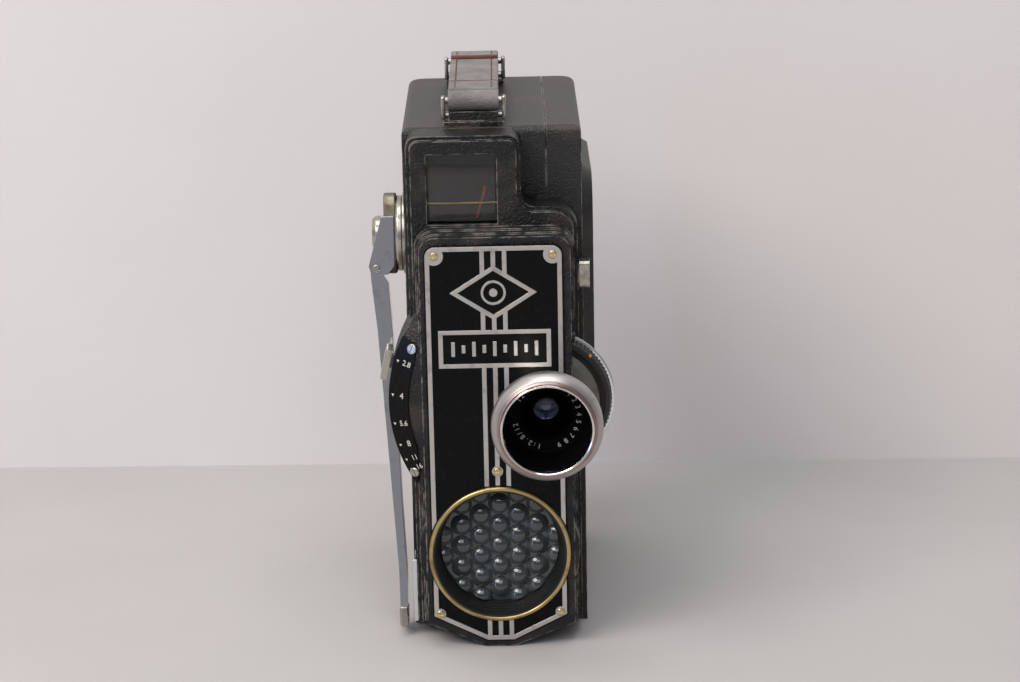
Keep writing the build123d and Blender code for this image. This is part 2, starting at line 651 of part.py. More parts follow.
CHEEK_OUT = 6.1             # inner face of each cheek, from the lever's middle plane
with BuildPart() as crank_cheeks:
    for side in (CHEEK_OUT, -CHEEK_OUT - 1.1):
        with BuildSketch(crank_plane.offset(side)):
            with BuildLine():
                Polyline(
                    (-29.6, 5.0),
                    (-33.2, 5.0),
                    (-37.2, -9.6),
                    (-36.4, -12.2),
                    (-31.5, -12.2),
                    (-29.6, -9.6),
                    close=True,
                )
            make_face()
            with Locations((FOLD_X, -FOLD_DROP)):
                Circle(1.0, mode=Mode.SUBTRACT)
        extrude(amount=1.1)
finish(crank_cheeks, "crank_cheeks")

with BuildPart() as hub_screw:
    with Locations(Location((-32.5, HUB_Y, HUB_Z), (0, -90, 0))):
        add(screw_head(5.2, 3.6, 1.2, 1.0))
finish(hub_screw, "hub_screw")

with BuildPart() as fold_pin:
    with BuildSketch(crank_plane.offset(-CHEEK_OUT - 1.3)):
        with Locations((FOLD_X, -FOLD_DROP)):
            Circle(1.0)
    extrude(amount=2 * CHEEK_OUT + 2.6)
finish(fold_pin, "fold_pin")

ARM_INNER = (
    (-32.8, -10.2), (-32.8, -12.6), (-31.5, -14.6), (-30.6, -29.0),
    (-29.0, -80.0), (-28.0, -100.0), (-27.9, -111.5),
)
ARM_OUTER = ((-30.2, -111.5), (-30.4, -100.0), (-31.8, -80.0), (-35.1, -29.0), (-36.6, -14.6), (-37.0, -10.2))
with BuildPart() as crank_arm:
    with BuildSketch(crank_plane):
        with BuildLine():
            Polyline(*ARM_INNER, *ARM_OUTER, close=True)
        make_face()
        with Locations((FOLD_X, -FOLD_DROP)):
            Circle(2.1)
            Circle(1.0 + RUNNING, mode=Mode.SUBTRACT)
    extrude(amount=4.6, both=True)
finish(crank_arm, "crank_arm")

with BuildPart() as crank_grip:
    with BuildSketch(crank_plane):
        with BuildLine():
            Polyline(
                (-27.8, -111.5),
                (-27.8, -117.0),
                (-28.3, -ARM_LENGTH),
                (-29.8, -ARM_LENGTH),
                (-30.4, -117.0),
                (-30.4, -111.5),
                close=True,
            )
        make_face()
    extrude(amount=4.9, both=True)
finish(crank_grip, "crank_grip")

with BuildPart() as crank_rest:
    block((TIER_LEFT - 0.9, -45.5, 4.6), (TIER_LEFT, -38.0, 24.2))
    block((TIER_LEFT - 1.5, -46.6, 4.6), (TIER_LEFT, -45.4, 24.2))
finish(crank_rest, "crank_rest")

# ---------------------------------------------------------------- release

with BuildPart() as release_button:
    with BuildSketch(Plane.YZ.offset(24.7)):
        with Locations((-39.8, 109.5)):
            RectangleRounded(5.0, 8.0, 1.0)
    extrude(amount=3.1)
    for row in range(7):
        with Locations((28.1, -39.8, 106.5 + row)):
            Box(1.0, 6.0, 0.45, mode=Mode.SUBTRACT)
    block((19.4, -40.8, 106.6), (24.8, -38.8, 112.4))
finish(release_button, "release_button")

with BuildPart() as release_spring:
    rod_z((20.6, -39.8), 0.9, 99.0, 106.6)
    rod_z((20.6, -39.8), 0.5, 98.0, 107.0, Mode.SUBTRACT)
finish(release_spring, "release_spring")

# ---------------------------------------------------------------- clockwork

with BuildPart() as main_plate:
    block((PLATE_X, -33.0, 10.0), (PLATE_X + PLATE_THICK, 41.5, 124.0))
    rod_x(TAKEUP_AT, 1.5 + RUNNING, PLATE_X - 1, PLATE_X + PLATE_THICK + 1, Mode.SUBTRACT)
    for at in (BARREL_AT, FIRST_AT, CROWN_AT, GOVERNOR_AT):
        rod_x(at, 1.0 + RUNNING, PLATE_X - 1, PLATE_X + PLATE_THICK + 1, Mode.SUBTRACT)
finish(main_plate, "main_plate")

PILLARS = ((-29.0, 14.0), (37.0, 14.0), (37.0, 120.0), (-29.0, 92.0))
with BuildPart() as plate_pillars:
    for at in PILLARS:
        rod_x(at, 2.4, -CASE_HALF + WALL, PLATE_X)
    # The screws that hold the mechanism plate on them
    for at in PILLARS:
        with Locations(Location((PLATE_X + PLATE_THICK, at[0], at[1]), (0, 90, 0))):
            add(screw_head(2.2, 1.0, 0.5))
finish(plate_pillars, "plate_pillars")

WIND_PHASE = 3.0
ARBOR_PHASE = meshed_phase(WIND_PHASE, WIND_TEETH, WIND_AT, BARREL_AT, ARBOR_TEETH)
with BuildPart() as winding_gear:
    add(gear(WIND_TEETH, COARSE, WIND_AT, -22.2, 1.8, WIND_PHASE, 4.0))
finish(winding_gear, "winding_gear")

with BuildPart() as barrel_arbor:
    add(gear(ARBOR_TEETH, COARSE, BARREL_AT, -22.2, 1.8, ARBOR_PHASE))
    rod_x(BARREL_AT, 2.5, -23.6, -3.6)
finish(barrel_arbor, "barrel_arbor")

BARREL_PHASE = 0.0
with BuildPart() as spring_barrel:
    rod_x(BARREL_AT, 19.4, -19.4, -7.0)
    add(gear(BARREL_TEETH, COARSE, BARREL_AT, -7.2, 2.0, BARREL_PHASE))
    rod_x(BARREL_AT, 18.2, -18.4, -8.2, Mode.SUBTRACT)
    rod_x(BARREL_AT, 2.5 + RUNNING, -20, -4, Mode.SUBTRACT)
finish(spring_barrel, "spring_barrel")

with BuildPart() as mainspring:
    for turn in range(8):
        radius = 17.8 - 1.5 * turn
        rod_x(BARREL_AT, radius, -18.0, -8.6)
        rod_x(BARREL_AT, radius - 0.7, -18.5, -8.0, Mode.SUBTRACT)
finish(mainspring, "mainspring")

FIRST_PHASE = meshed_phase(BARREL_PHASE, BARREL_TEETH, BARREL_AT, FIRST_AT, FIRST_PINION_TEETH)
FIRST_WHEEL_PHASE = 0.0
with BuildPart() as first_wheel:
    add(gear(FIRST_WHEEL_TEETH, FINE, FIRST_AT, -3.9, 1.4, FIRST_WHEEL_PHASE))
    add(gear(FIRST_PINION_TEETH, COARSE, FIRST_AT, -7.6, 3.8, FIRST_PHASE))
    rod_x(FIRST_AT, 1.5, -23.6, PLATE_X - 0.3)
    rod_x(FIRST_AT, 1.0, PLATE_X - 0.4, PLATE_X + PLATE_THICK)
finish(first_wheel, "first_wheel")

SECOND_PHASE = meshed_phase(FIRST_WHEEL_PHASE, FIRST_WHEEL_TEETH, FIRST_AT, CROWN_AT, SECOND_PINION_TEETH)
GOVERNOR_PHASE = meshed_phase(
    FIRST_WHEEL_PHASE, FIRST_WHEEL_TEETH, FIRST_AT, GOVERNOR_AT, SECOND_PINION_TEETH
)
CROWN_RADIUS = CROWN_TEETH * FINE / 2
SHUTTER_PINION_RADIUS = SHUTTER_PINION_TEETH * FINE / 2
CROWN_FACE = SHUTTER_X + SHUTTER_PINION_RADIUS + 1.1     # the crown's disc starts here
with BuildPart() as crown_wheel:
    add(gear(SECOND_PINION_TEETH, FINE, CROWN_AT, -4.4, 2.4, SECOND_PHASE))
    rod_x(CROWN_AT, 1.2, -23.6, PLATE_X - 0.3)
    rod_x(CROWN_AT, 1.0, PLATE_X - 0.4, PLATE_X + PLATE_THICK)
    rod_x(CROWN_AT, CROWN_RADIUS + 1.3, CROWN_FACE, CROWN_FACE + 1.0)
    with BuildSketch(Plane(origin=(CROWN_FACE - 1.7, *CROWN_AT), x_dir=(0, 1, 0), z_dir=(1, 0, 0))):
        with PolarLocations(CROWN_RADIUS, CROWN_TEETH):
            Rectangle(2.4, 0.9)
    extrude(amount=1.8)
finish(crown_wheel, "crown_wheel")

with BuildPart() as governor:
    add(gear(SECOND_PINION_TEETH, FINE, GOVERNOR_AT, -4.4, 2.4, GOVERNOR_PHASE))
    rod_x(GOVERNOR_AT, 1.2, -23.6, PLATE_X - 0.3)
    rod_x(GOVERNOR_AT, 1.0, PLATE_X - 0.4, PLATE_X + PLATE_THICK)
    rod_x(GOVERNOR_AT, 8.0, -20.0, -19.0)
    for side in (-1, 1):
        block(
            (-18.0, GOVERNOR_AT[0] - 2.5, GOVERNOR_AT[1] + 5 * side - 2.0),
            (-12.0, GOVERNOR_AT[0] + 2.5, GOVERNOR_AT[1] + 5 * side + 2.0),
        )
        block(
            (-19.2, GOVERNOR_AT[0] - 0.8, GOVERNOR_AT[1] + 5 * side - 0.4),
            (-17.8, GOVERNOR_AT[0] + 0.8, GOVERNOR_AT[1] + 5 * side + 0.4),
        )
    rod_x(GOVERNOR_AT, 4.0, -18.5, -11.5)
finish(governor, "governor")

TAKEUP_PHASE = meshed_phase(BARREL_PHASE, BARREL_TEETH, BARREL_AT, TAKEUP_AT, TAKEUP_TEETH)
with BuildPart() as takeup_spindle:
    add(gear(TAKEUP_TEETH, COARSE, TAKEUP_AT, -7.0, 1.6, TAKEUP_PHASE))
    rod_x(TAKEUP_AT, 1.5, -23.6, 20.0)
    for turn in range(3):
        with Locations(Location((15.5, *TAKEUP_AT), (120 * turn, 0, 0))):
            Box(8.0, 5.6, 0.8)
finish(takeup_spindle, "takeup_spindle")

PINION_FRONT = -CROWN_AT[0] + CROWN_RADIUS + 1.2        # distance of its front face before the origin
with BuildPart() as shutter_shaft:
    rod_y((SHUTTER_X, LENS_Z), 1.2, 42.6, PINION_FRONT - 3.0)
    with BuildSketch(Plane.XZ.offset(PINION_FRONT - 2.4)):
        with Locations((SHUTTER_X, LENS_Z)):
            Circle(SHUTTER_PINION_RADIUS - 0.9)
            half_pitch = 180 / SHUTTER_PINION_TEETH
            with PolarLocations(SHUTTER_PINION_RADIUS - 0.3, SHUTTER_PINION_TEETH, start_angle=half_pitch):
                Rectangle(1.7, 0.8)
    extrude(amount=2.4)
finish(shutter_shaft, "shutter_shaft")

with BuildPart() as shutter_disc:
    with BuildSketch(Plane.XZ.offset(38.6)):
        with Locations((SHUTTER_X, LENS_Z)):
            Circle(16.0)
            Circle(1.2, mode=Mode.SUBTRACT)
            with PolarLocations(12.6, 1, start_angle=0):
                Rectangle(7.6, 10.0, mode=Mode.SUBTRACT)
    extrude(amount=0.6)
finish(shutter_disc, "shutter_disc")

# ---------------------------------------------------------------- film path

GATE_RIGHT = 19.4
with BuildPart() as film_gate:
    block((PLATE_X + PLATE_THICK, -33.0, 60.0), (GATE_RIGHT, -31.8, 90.0))
    block((LENS_X - 2.4, -34.0, LENS_Z - 1.75), (LENS_X + 2.4, -31.0, LENS_Z + 1.75), Mode.SUBTRACT)
    block((10.6, -34.0, LENS_Z - 6.5), (11.6, -31.0, LENS_Z + 1.0), Mode.SUBTRACT)
finish(film_gate, "film_gate")

with BuildPart() as pressure_plate:
    block((PLATE_X + PLATE_THICK + 0.6, -31.4, 64.0), (GATE_RIGHT - 0.6, -30.6, 86.0))
finish(pressure_plate, "pressure_plate")

with BuildPart() as pulldown_claw:
    block((10.8, -35.0, LENS_Z - 2.5), (11.4, -34.0, LENS_Z + 8.0))
    block((10.8, -34.2, LENS_Z - 0.4), (11.4, -32.4, LENS_Z + 0.4))
finish(pulldown_claw, "pulldown_claw")

with BuildPart() as film_cassette:
    block((PLATE_X + PLATE_THICK + 1.2, -20.0, 58.0), (23.2, 38.0, 121.0))
    fillet(film_cassette.edges().filter_by(Axis.X), 6.0)
    rod_x(TAKEUP_AT, 4.2, 0, 21.0, Mode.SUBTRACT)
finish(film_cassette, "film_cassette")

# ---------------------------------------------------------------- strap handle

ANCHORS = (-31.0, 32.0)     # middle of each anchor along Y
ANCHOR_HALF = 3.6
RING_BAR = 1.0
RING_Z = 155.3              # the ring's lower bar, in the anchor's eye
RING_RISE = 4.3             # height of the strap's bar over it
with BuildPart() as strap_anchors:
    for middle in ANCHORS:
        block(
            (STRAP_X - 8.8, middle - ANCHOR_HALF, CASE_HEIGHT),
            (STRAP_X + 8.8, middle + ANCHOR_HALF, CASE_HEIGHT + 1.4),
        )
        block((STRAP_X - 7.2, middle - 2.2, CASE_HEIGHT + 1.3), (STRAP_X + 7.2, middle + 2.2, RING_Z + 1.3))
        rod_x((middle, RING_Z), RING_BAR + RUNNING, STRAP_X - 8, STRAP_X + 8, Mode.SUBTRACT)
finish(strap_anchors, "strap_anchors")

with BuildPart() as strap_rings:
    for middle in ANCHORS:
        for rise in (0.0, RING_RISE):
            rod_x((middle, RING_Z + rise), RING_BAR, STRAP_X - 9.4, STRAP_X + 9.4)
        for side in (-9.4, 8.2):
            block(
                (STRAP_X + side, middle - 1.5, RING_Z - 1.3),
                (STRAP_X + side + 1.2, middle + 1.5, RING_Z + RING_RISE + 1.3),
            )
finish(strap_rings, "strap_rings")

STRAP_RISE = 0.8            # height of the strap's arch over its ends
EYE = RING_BAR + 0.3
front_eye = (ANCHORS[0], RING_Z + RING_RISE)
rear_eye = (ANCHORS[1], RING_Z + RING_RISE)
with BuildPart() as handle_strap:
    with BuildSketch(Plane.YZ.offset(STRAP_X - STRAP_WIDTH / 2)):
        with BuildLine():
            lower = ThreePointArc(front_eye, (0, front_eye[1] + STRAP_RISE), rear_eye)
            upper = ThreePointArc(
                (rear_eye[0], rear_eye[1] + STRAP_THICK),
                (0, front_eye[1] + STRAP_RISE + STRAP_THICK),
                (front_eye[0], front_eye[1] + STRAP_THICK),
            )
            Line(lower @ 1, upper @ 0)
            Line(upper @ 1, lower @ 0)
        make_face()
        for eye in (front_eye, rear_eye):
            with Locations(eye):
                Circle(EYE + 1.6)
        for eye in (front_eye, rear_eye):
            with Locations(eye):
                Circle(EYE, mode=Mode.SUBTRACT)
    extrude(amount=STRAP_WIDTH)
finish(handle_strap, "handle_strap")
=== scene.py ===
import logging
import math
from dataclasses import dataclass
from enum import Enum

import bmesh
import bpy
from mathutils import Matrix, Vector


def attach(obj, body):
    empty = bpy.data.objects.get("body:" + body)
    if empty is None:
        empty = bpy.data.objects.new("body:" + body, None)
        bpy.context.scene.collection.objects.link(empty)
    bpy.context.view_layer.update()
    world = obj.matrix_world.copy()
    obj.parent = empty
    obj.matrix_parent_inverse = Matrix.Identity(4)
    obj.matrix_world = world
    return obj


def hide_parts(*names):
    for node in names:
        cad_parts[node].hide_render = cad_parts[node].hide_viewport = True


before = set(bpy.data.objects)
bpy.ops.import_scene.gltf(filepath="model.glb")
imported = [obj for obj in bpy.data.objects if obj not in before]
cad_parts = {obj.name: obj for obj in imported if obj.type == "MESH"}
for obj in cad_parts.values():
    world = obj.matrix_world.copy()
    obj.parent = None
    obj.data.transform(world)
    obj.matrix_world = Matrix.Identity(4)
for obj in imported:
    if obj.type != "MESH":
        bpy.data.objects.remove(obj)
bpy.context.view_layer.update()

MM = 0.001                  # the frame is in metres, the sizes below are in millimetres
LOG = logging.getLogger("cine_camera")

MIX_A, MIX_B, MIX_OUT = 6, 7, 2     # a colour Mix node's sockets


# ---------------------------------------------------------------- helpers


def linear(code: str) -> tuple[float, float, float, float]:
    """Turn an sRGB hex colour into linear values.

    Args:
        code: Colour such as "#1b1b1a".

    Returns:
        Red, green, blue and an alpha of 1.
    """
    channels = [int(code[i : i + 2], 16) / 255 for i in (1, 3, 5)]
    bent = [c / 12.92 if c <= 0.04045 else ((c + 0.055) / 1.055) ** 2.4 for c in channels]
    return (*bent, 1.0)


def per_mm(pitch: float) -> float:
    """Texture scale on Object coordinates for a pattern that repeats every pitch millimetres."""
    return 1.0 / (pitch * MM)


def add_node(tree: bpy.types.NodeTree, kind: str, settings: dict | None = None,
             links: dict | None = None) -> bpy.types.Node:
    """Add one shader node.

    Args:
        tree: Node tree of a material.
        kind: Blender's name for the node.
        settings: Attributes and socket values; a socket goes by its name or number.
        links: Source sockets by the name or number of the socket they feed.

    Returns:
        The new node.
    """
    node = tree.nodes.new(kind)
    for name, value in (settings or {}).items():
        if isinstance(name, str) and hasattr(node, name):
            setattr(node, name, value)
        else:
            node.inputs[name].default_value = value
    for name, source in (links or {}).items():
        tree.links.new(source, node.inputs[name])
    return node


def start_material(name: str, values: dict) -> tuple[
    bpy.types.Material, bpy.types.NodeTree, bpy.types.Node, bpy.types.NodeSocket
]:
    """Start a material with its constant shader values.

    Args:
        name: Name of the finish.
        values: Principled socket values.

    Returns:
        The material, its tree, its shader and its Object coordinate socket.
    """
    material = bpy.data.materials.new(name)
    material.use_nodes = True
    tree = material.node_tree
    shader = tree.nodes["Principled BSDF"]
    for socket, value in values.items():
        shader.inputs[socket].default_value = value
    place = add_node(tree, "ShaderNodeTexCoord").outputs["Object"]
    return material, tree, shader, place


def edge_mask(tree: bpy.types.NodeTree, place: bpy.types.NodeSocket, radius: float,
              patch: float) -> bpy.types.NodeSocket:
    """Mask of edges that handling has rubbed, broken up by noise.

    Args:
        tree: Node tree.
        place: Object coordinate socket.
        radius: Width of the worn band in millimetres.
        patch: Size of the patches that break it up, in millimetres.

    Returns:
        A socket from 0 on flat surface to 1 on a worn edge.
    """
    rounded = add_node(tree, "ShaderNodeBevel", {"samples": 6, "Radius": radius * MM})
    facing = add_node(tree, "ShaderNodeNewGeometry")
    alike = add_node(
        tree, "ShaderNodeVectorMath", {"operation": "DOT_PRODUCT"},
        {0: rounded.outputs["Normal"], 1: facing.outputs["Normal"]},
    )
    edge = add_node(
        tree, "ShaderNodeMapRange", {"From Min": 0.985, "From Max": 0.82}, {"Value": alike.outputs["Value"]}
    )
    noise = add_node(tree, "ShaderNodeTexNoise", {"Scale": per_mm(patch), "Detail": 5.0}, {"Vector": place})
    patchy = add_node(
        tree, "ShaderNodeMapRange", {"From Min": 0.42, "From Max": 0.58}, {"Value": noise.outputs[0]},
    )
    return add_node(
        tree, "ShaderNodeMath", {"operation": "MULTIPLY", "use_clamp": True},
        {0: edge.outputs[0], 1: patchy.outputs[0]},
    ).outputs[0]


def soft_normal(tree: bpy.types.NodeTree, radius: float) -> bpy.types.NodeSocket:
    """Normal that rounds sharp edges by radius millimetres."""
    return add_node(tree, "ShaderNodeBevel", {"samples": 4, "Radius": radius * MM}).outputs["Normal"]


# ---------------------------------------------------------------- finishes


class Lay(Enum):
    """Direction of the marks that machining or rubbing leaves in a metal."""

    NONE = 0
    TURNED = 1      # rings about the lens axis
    LENGTHWISE = 2  # lines up and down


@dataclass(frozen=True)
class CrackleEnamel:
    """Black crackle enamel baked on die-cast metal: wrinkled skin, dust in its folds, bright worn edges."""

    name: str = "black_crackle_enamel"
    skin: str = "#0b0c0c"
    worn: str = "#a5a299"
    dust: str = "#4a4136"
    wrinkle: float = 0.65       # width of one wrinkle, mm
    roughness: float = 0.36
    wear: float = 1.0
    relief: float = 0.7

    def build(self) -> bpy.types.Material:
        """Make the material.

        Returns:
            The material, ready to assign.
        """
        material, tree, shader, place = start_material(self.name, {"IOR": 1.52, "Specular IOR Level": 0.4})
        # The wrinkles wander: noise bends the cells of the pattern
        bend = add_node(tree, "ShaderNodeTexNoise", {"Scale": per_mm(2.2), "Detail": 3.0}, {"Vector": place})
        bent = add_node(
            tree, "ShaderNodeVectorMath", {"operation": "MULTIPLY_ADD", 1: (0.0009,) * 3},
            {0: bend.outputs["Color"], 2: place},
        )
        cells = add_node(
            tree, "ShaderNodeTexVoronoi",
            {"feature": "SMOOTH_F1", "Scale": per_mm(self.wrinkle), "Smoothness": 0.6},
            {"Vector": bent.outputs[0]},
        )
        folds = add_node(
            tree, "ShaderNodeTexVoronoi",
            {"feature": "DISTANCE_TO_EDGE", "Scale": per_mm(self.wrinkle * 1.9)},
            {"Vector": bent.outputs[0]},
        )
        fine = add_node(tree, "ShaderNodeTexNoise", {"Scale": per_mm(0.25), "Detail": 3.0}, {"Vector": place})
        relief = add_node(
            tree, "ShaderNodeMath", {"operation": "SUBTRACT"},
            {0: folds.outputs["Distance"], 1: cells.outputs["Distance"]}
        )
        relief = add_node(
            tree, "ShaderNodeMath", {"operation": "MULTIPLY_ADD", 1: 0.35},
            {0: fine.outputs[0], 2: relief.outputs[0]}
        )
        bump = add_node(
            tree, "ShaderNodeBump", {"Strength": self.relief, "Distance": 0.3 * MM},
            {"Height": relief.outputs[0], "Normal": soft_normal(tree, 0.45)},
        )
        stain = add_node(
            tree, "ShaderNodeTexNoise", {"Scale": per_mm(14.0), "Detail": 6.0}, {"Vector": place},
        )
        stained = add_node(
            tree, "ShaderNodeMapRange", {"From Min": 0.48, "From Max": 0.72, "To Max": 0.5},
            {"Value": stain.outputs[0]}
        )
        coat = add_node(
            tree, "ShaderNodeMix", {"data_type": "RGBA", MIX_A: linear(self.skin), MIX_B: linear(self.dust)},
            {0: stained.outputs[0]},
        )
        mask = edge_mask(tree, place, 0.55, 3.5)
        specks = add_node(
            tree, "ShaderNodeMapRange", {"From Min": 0.66, "From Max": 0.76, "To Max": 0.35},
            {"Value": fine.outputs[0]}
        )
        amount = add_node(
            tree, "ShaderNodeMath", {"operation": "MULTIPLY_ADD", "use_clamp": True, 1: 0.9 * self.wear},
            {0: mask, 2: specks.outputs[0]},
        )
        colour = add_node(
            tree, "ShaderNodeMix", {"data_type": "RGBA", MIX_B: linear(self.worn)},
            {0: amount.outputs[0], MIX_A: coat.outputs[MIX_OUT]},
        )
        rough = add_node(
            tree, "ShaderNodeMapRange", {"To Min": self.roughness - 0.1, "To Max": self.roughness + 0.16},
            {"Value": fine.outputs[0]},
        )
        tree.links.new(colour.outputs[MIX_OUT], shader.inputs["Base Color"])
        tree.links.new(rough.outputs[0], shader.inputs["Roughness"])
        tree.links.new(bump.outputs[0], shader.inputs["Normal"])
        return material


@dataclass(frozen=True)
class AgedMetal:
    """Bare or plated metal: marks of its making, dirt in patches, fine scratches and rubbed edges."""

    name: str
    colour: str
    dirt: str
    roughness: float
    lay: Lay = Lay.NONE
    axis: tuple[float, float] = (14.2, 75.0)    # centre of turned marks in (x, z), mm
    grain: float = 0.35                         # spacing of the marks, mm
    grain_depth: float = 0.1
    soiled: float = 0.35                        # how much of the surface carries dirt
    patch: float = 6.0                          # size of the dirt patches, mm
    edge: str = "#e8e6e0"

    def build(self) -> bpy.types.Material:
        """Make the material.

        Returns:
            The material, ready to assign.
        """
        material, tree, shader, place = start_material(self.name, {"Metallic": 1.0})
        if self.lay is Lay.TURNED:
            centre = (-self.axis[0] * MM, 0.0, -self.axis[1] * MM)
            moved = add_node(tree, "ShaderNodeMapping", {"Location": centre}, {"Vector": place})
            parts = add_node(tree, "ShaderNodeSeparateXYZ", links={0: moved.outputs[0]})
            flat = add_node(
                tree, "ShaderNodeCombineXYZ", links={"X": parts.outputs["X"], "Y": parts.outputs["Z"]},
            )
            reach = add_node(tree, "ShaderNodeVectorMath", {"operation": "LENGTH"}, {0: flat.outputs[0]})
            marks_at = add_node(
                tree, "ShaderNodeCombineXYZ", links={"X": reach.outputs["Value"], "Y": parts.outputs["Y"]}
            ).outputs[0]
        elif self.lay is Lay.LENGTHWISE:
            marks_at = add_node(
                tree, "ShaderNodeMapping", {"Scale": (1.0, 1.0, 0.02)}, {"Vector": place},
            ).outputs[0]
        else:
            marks_at = place
        marks = add_node(
            tree, "ShaderNodeTexNoise", {"Scale": per_mm(self.grain), "Detail": 4.0}, {"Vector": marks_at},
        )
        grime = add_node(
            tree, "ShaderNodeTexNoise", {"Scale": per_mm(self.patch), "Detail": 8.0, "Roughness": 0.65},
            {"Vector": place}
        )
        soil = add_node(
            tree, "ShaderNodeMapRange",
            {"From Min": 0.62 - 0.3 * self.soiled, "From Max": 0.78, "To Max": 0.9},
            {"Value": grime.outputs[0]},
        )
        dirty = add_node(
            tree, "ShaderNodeMix",
            {"data_type": "RGBA", MIX_A: linear(self.colour), MIX_B: linear(self.dirt)},
            {0: soil.outputs[0]},
        )
        mask = edge_mask(tree, place, 0.2, 1.6)
        rubbed = add_node(tree, "ShaderNodeMath", {"operation": "MULTIPLY", 1: 0.5}, {0: mask})
        colour = add_node(
            tree, "ShaderNodeMix", {"data_type": "RGBA", MIX_B: linear(self.edge)},
            {0: rubbed.outputs[0], MIX_A: dirty.outputs[MIX_OUT]},
        )
        rough = add_node(
            tree, "ShaderNodeMapRange", {"To Min": self.roughness, "To Max": min(self.roughness + 0.3, 0.9)},
            {"Value": soil.outputs[0]},
        )
        bump = add_node(
            tree, "ShaderNodeBump", {"Strength": self.grain_depth, "Distance": 0.05 * MM},
            {"Height": marks.outputs[0], "Normal": soft_normal(tree, 0.18)},
        )
        tree.links.new(colour.outputs[MIX_OUT], shader.inputs["Base Color"])
        tree.links.new(rough.outputs[0], shader.inputs["Roughness"])
        tree.links.new(bump.outputs[0], shader.inputs["Normal"])
        return material


@dataclass(frozen=True)
class SmoothLacquer:
    """Smooth lacquer or enamel on metal: even colour, faint orange peel, hairline scratches and dust."""

    name: str
    colour: str
    dust: str = "#55524c"
    roughness: float = 0.22
    coat: float = 0.0
    dusty: float = 0.35
    peel: float = 0.08
    specular: float = 0.5       # 0.5 is a plain coat; a matt or deep black reflects less

    def build(self) -> bpy.types.Material:
        """Make the material.

        Returns:
            The material, ready to assign.
        """
        values = {
            "IOR": 1.5, "Coat Weight": self.coat, "Coat Roughness": 0.08, "Specular IOR Level": self.specular,
        }
        material, tree, shader, place = start_material(self.name, values)
        dust = add_node(
            tree, "ShaderNodeTexNoise", {"Scale": per_mm(3.0), "Detail": 10.0, "Roughness": 0.75},
            {"Vector": place}
        )
        lying = add_node(
            tree, "ShaderNodeMapRange", {"From Min": 0.56, "From Max": 0.8, "To Max": self.dusty},
            {"Value": dust.outputs[0]},
        )
        colour = add_node(
            tree, "ShaderNodeMix",
            {"data_type": "RGBA", MIX_A: linear(self.colour), MIX_B: linear(self.dust)},
            {0: lying.outputs[0]},
        )
        streaks = add_node(
            tree, "ShaderNodeMapping", {"Rotation": (0.4, 0.9, 0.2), "Scale": (1, 1, 0.03)},
            {"Vector": place},
        )
        hair = add_node(
            tree, "ShaderNodeTexNoise", {"Scale": per_mm(0.5), "Detail": 2.0}, {"Vector": streaks.outputs[0]},
        )
        rough = add_node(
            tree, "ShaderNodeMapRange",
            {"From Min": 0.45, "From Max": 0.7, "To Min": self.roughness, "To Max": self.roughness + 0.18},
            {"Value": hair.outputs[0]},
        )
        peel = add_node(tree, "ShaderNodeTexNoise", {"Scale": per_mm(1.4), "Detail": 2.0}, {"Vector": place})
        bump = add_node(
            tree, "ShaderNodeBump", {"Strength": self.peel, "Distance": 0.1 * MM},
            {"Height": peel.outputs[0], "Normal": soft_normal(tree, 0.15)},
        )
        tree.links.new(colour.outputs[MIX_OUT], shader.inputs["Base Color"])
        tree.links.new(rough.outputs[0], shader.inputs["Roughness"])
        tree.links.new(bump.outputs[0], shader.inputs["Normal"])
        return material


@dataclass(frozen=True)
class OpticalGlass:
    """Ground and polished glass with a faint bloom and a few dust specks."""

    name: str
    tint: str
    roughness: float = 0.02
    ior: float = 1.52

    def build(self) -> bpy.types.Material:
        """Make the material.

        Returns:
            The material, ready to assign.
        """
        values = {"IOR": self.ior, "Transmission Weight": 1.0, "Base Color": linear(self.tint)}
        material, tree, shader, place = start_material(self.name, values)
        specks = add_node(
            tree, "ShaderNodeTexNoise", {"Scale": per_mm(0.8), "Detail": 6.0}, {"Vector": place},
        )
        rough = add_node(
            tree, "ShaderNodeMapRange",
            {"From Min": 0.6, "From Max": 0.8, "To Min": self.roughness, "To Max": self.roughness + 0.3},
            {"Value": specks.outputs[0]},
        )
        tree.links.new(rough.outputs[0], shader.inputs["Roughness"])
        return material


@dataclass(frozen=True)
class MouldedGlass:
    """Pressed lenslet glass that lies on a dark cell: grey-green depth, bright glints, and a bluish bloom
    whose pale colour is painted stronger towards each dome's grazing edges as painted sheen.
    """

    name: str = "pressed_lenslet_glass"
    deep: str = "#3d4748"
    # pale: colour of the bloom, also painted on as sheen at the domes' grazing edges
    pale: str = "#8b9794"

    def build(self) -> bpy.types.Material:
        """Make the material.

        Returns:
            The material, ready to assign.
        """
        values = {
            "IOR": 1.58, "Transmission Weight": 0.45, "Roughness": 0.05, "Coat Weight": 0.6,
            "Coat Roughness": 0.03,
        }
        material, tree, shader, place = start_material(self.name, values)
        # Painted sheen: the base colour turns pale where a dome is seen at a grazing angle, patched by bloom
        # noise
        facing = add_node(tree, "ShaderNodeLayerWeight", {"Blend": 0.45})
        bloom = add_node(tree, "ShaderNodeTexNoise", {"Scale": per_mm(9.0), "Detail": 4.0}, {"Vector": place})
        bloom_and_painted_sheen = add_node(
            tree, "ShaderNodeMath", {"operation": "MULTIPLY", "use_clamp": True},
            {0: facing.outputs["Facing"], 1: bloom.outputs[0]},
        )
        tint = add_node(
            tree, "ShaderNodeMix", {"data_type": "RGBA", MIX_A: linear(self.deep), MIX_B: linear(self.pale)},
            {0: bloom_and_painted_sheen.outputs[0]},
        )
        ripple = add_node(
            tree, "ShaderNodeTexNoise", {"Scale": per_mm(2.5), "Detail": 2.0}, {"Vector": place},
        )
        bump = add_node(
            tree, "ShaderNodeBump", {"Strength": 0.12, "Distance": 0.2 * MM}, {"Height": ripple.outputs[0]},
        )
        tree.links.new(tint.outputs[MIX_OUT], shader.inputs["Base Color"])
        tree.links.new(bump.outputs[0], shader.inputs["Normal"])
        return material


